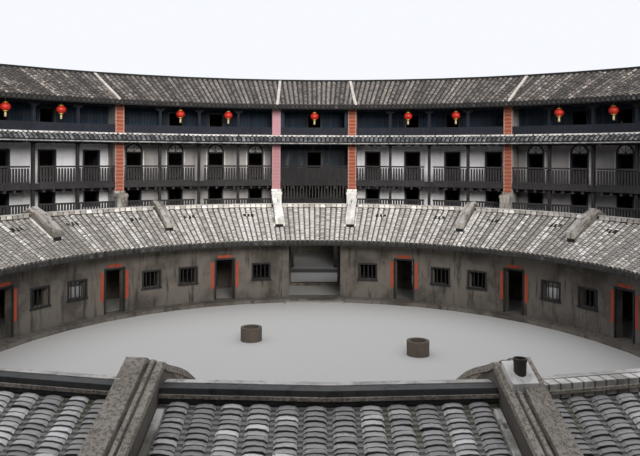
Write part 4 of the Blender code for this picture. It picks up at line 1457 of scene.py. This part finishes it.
innerRafter = rafter("inner")
for q, quadrant in enumerate(quadrants):
    mould = Mould()
    for bay, (start, facet, facets) in enumerate(innerBays(q)):
        face, half = innerFront * cos(facet / 2), innerFront * sin(facet / 2)
        first, each = start + facet / 2, rafters["innerEach"]
        sideCopies(mould, innerRafter, "timber", 7, each, facets, first, facet, face, half)
        if bay == 0:
            dressInnerGate(mould, Stand(start + facet, innerFront - 0.002), *gateSizes[q])
            continue
        for i in range(facets):
            dress = dressInnerDoor if i == 1 else dressInnerWindow
            dress(mould, Stand(start + (i + 0.5) * facet, face))
    mould.done("inner_fittings_" + quadrant)
print("inner ring dressed")

gateStone = {"radius": 18.20, "rim": 0.13, "away": (-0.06, 0.08)}
wallWindow = {
    "radius": 18.03,
    "half": 0.13,
    "rim": 0.035,
    "rail": 0.03,
    "away": (0.0, 0.065),
    "up": (5.12, 5.58),
    "bar": (-0.01, 0.01),
    "barAway": (0.02, 0.04),
}


def dressGate(mould, stand, width, height):
    # A stone surround of jambs and a half-round head
    half, spring, rim, away = width / 2, height - width / 2, gateStone["rim"], gateStone["away"]
    stand.pair(mould, "granite", half, half + rim, away, (0.0, spring))
    archHead(mould, "granite", stand, half, rim, spring, 10, away)


def dressWallWindow(mould, stand):
    half, rail, away = wallWindow["half"], wallWindow["rail"], wallWindow["away"]
    low, high = wallWindow["up"]
    stand.pair(mould, "frame", half, half + wallWindow["rim"], away, (low, high))
    stand.box(mould, "frame", (-half, half), away, (high - rail, high))
    stand.box(mould, "frame", (-half, half), away, (low, low + rail))
    stand.box(mould, "frame", wallWindow["bar"], wallWindow["barAway"], (low + rail, high - rail))


outside = Mould()
for q, name in enumerate(publicBays):
    if name != "hall_bay":
        dressGate(outside, Stand(quarter * q, gateStone["radius"]), *gateSizes[q])
    for place in range(3):
        for bay in (0, 2):
            angle = quarter * q - chordHalf + (2 + 4 * place + bay + 0.5) * bayAngle
            dressWallWindow(outside, Stand(angle, wallWindow["radius"]))
outside.done("gate_surrounds")

# The pot's profile goes up its outside and down its bore, which a dark plug of painted shade fills
chimney = {
    "angle": 278.0,
    "radius": innerRidge + 0.13,
    "baseHalf": 0.085,
    "base": (0.0003, 0.055),
    "foot": 0.03,
    "pot": [(0.038, 0.0), (0.040, 0.085), (0.043, 0.092), (0.043, 0.110), (0.034, 0.110), (0.032, 0.0)],
    "dark": plate(0.002, 0.0315, 0.0, 0.07),
    "sides": 20,
}
mould = Mould()
angle, middle, half = radians(chimney["angle"]), chimney["radius"], chimney["baseHalf"]
saddle = [(middle + d, firewallTop(middle + d)) for d in (-half, 0.0, half)]
Stand(angle).rib(mould, "lime", slopeBand(saddle, *chimney["base"]), (-half, half))
where = Stand(angle, middle).at(0.0, 0.0, firewallTop(middle) + chimney["foot"])
for part, paint in (("pot", "clay"), ("dark", "void")):
    turnedShape(mould, paint, chimney[part], chimney["sides"], where)
mould.done("chimney_dressed", ["chimney_pot"])
print("outside and chimney dressed")

ringPaints = {
    "earth_wall_": "earth",
    "party_walls_": "brick",
    "main_roof_": "pan",
    "skirt_roof_": "pan",
    "inner_walls_": "innerWall",
    "inner_roof_": "farPan",
}
smallPaints = {
    "well_curb_left": "curb",
    "well_curb_right": "curb",
    "hall_step": "granite",
    "chimney_pot": "clay",
}
for quadrant in quadrants:
    for name, paint in ringPaints.items():
        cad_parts[name + quadrant].material_slots[0].material = palette[paint]
for name, paint in smallPaints.items():
    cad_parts[name].material_slots[0].material = palette[paint]
print("solid parts painted")

# Angles of the camera are in radians, and those of the sun in degrees
view = {
    "lens": 38.53,
    "sensor": 36.0,
    "shift": -0.119,
    "reach": 200.0,
    "place": (-0.12, -12.63, 4.164),
    "yaw": -0.0132,
    "pitch": 0.0065,
    "roll": 0.0045,
}
camera = bpy.data.cameras.new("photo_camera")
camera.lens = view["lens"]
camera.sensor_width = view["sensor"]
camera.shift_y = view["shift"]
camera.clip_end = view["reach"]
cameraObject = bpy.data.objects.new("photo_camera", camera)
bpy.context.scene.collection.objects.link(cameraObject)
turn = Matrix.Rotation(view["yaw"], 4, "Z") @ Matrix.Rotation(pi / 2 + view["pitch"], 4, "X")
turn = turn @ Matrix.Rotation(view["roll"], 4, "Z")
cameraObject.matrix_world = Matrix.Translation(view["place"]) @ turn
bpy.context.scene.camera = cameraObject
bpy.context.scene.view_settings.view_transform = "Standard"

daylight = {
    "sky": (0.93, 0.95, 1.0, 1.0),
    "skyStrength": 1.0,
    "sunStrength": 3.0,
    "sunColour": (1.0, 0.96, 0.90),
    "sunSoftness": 30.0,
    "sunTilt": 73.0,
    "sunTurn": 14.0,
}
world = bpy.data.worlds.new("soft_sky")
world.use_nodes = True
sky = world.node_tree.nodes["Background"].inputs
sky["Color"].default_value = daylight["sky"]
sky["Strength"].default_value = daylight["skyStrength"]
bpy.context.scene.world = world

sun = bpy.data.lights.new("soft_sun", "SUN")
sun.energy = daylight["sunStrength"]
sun.angle = radians(daylight["sunSoftness"])
sun.color = daylight["sunColour"]
sunObject = bpy.data.objects.new("soft_sun", sun)
sunObject.rotation_euler = (radians(daylight["sunTilt"]), 0.0, radians(daylight["sunTurn"]))
bpy.context.scene.collection.objects.link(sunObject)

ground = {"reach": 60.0, "colour": (0.55, 0.54, 0.52, 1.0), "rough": 0.9}
floorMesh = bpy.data.meshes.new("pale_floor")
reach = ground["reach"]
corners = [(x, y, 0.0) for x, y in plate(-reach, reach, -reach, reach)]
floorMesh.from_pydata(corners, [], [[0, 1, 2, 3]])
floorPaint = bpy.data.materials.new("pale_floor")
floorPaint.use_nodes = True
floorShader = floorPaint.node_tree.nodes["Principled BSDF"].inputs
floorShader["Base Color"].default_value = ground["colour"]
floorShader["Roughness"].default_value = ground["rough"]
floorMesh.materials.append(floorPaint)
floorObject = bpy.data.objects.new("pale_floor", floorMesh)
bpy.context.scene.collection.objects.link(floorObject)
print("light and camera set")
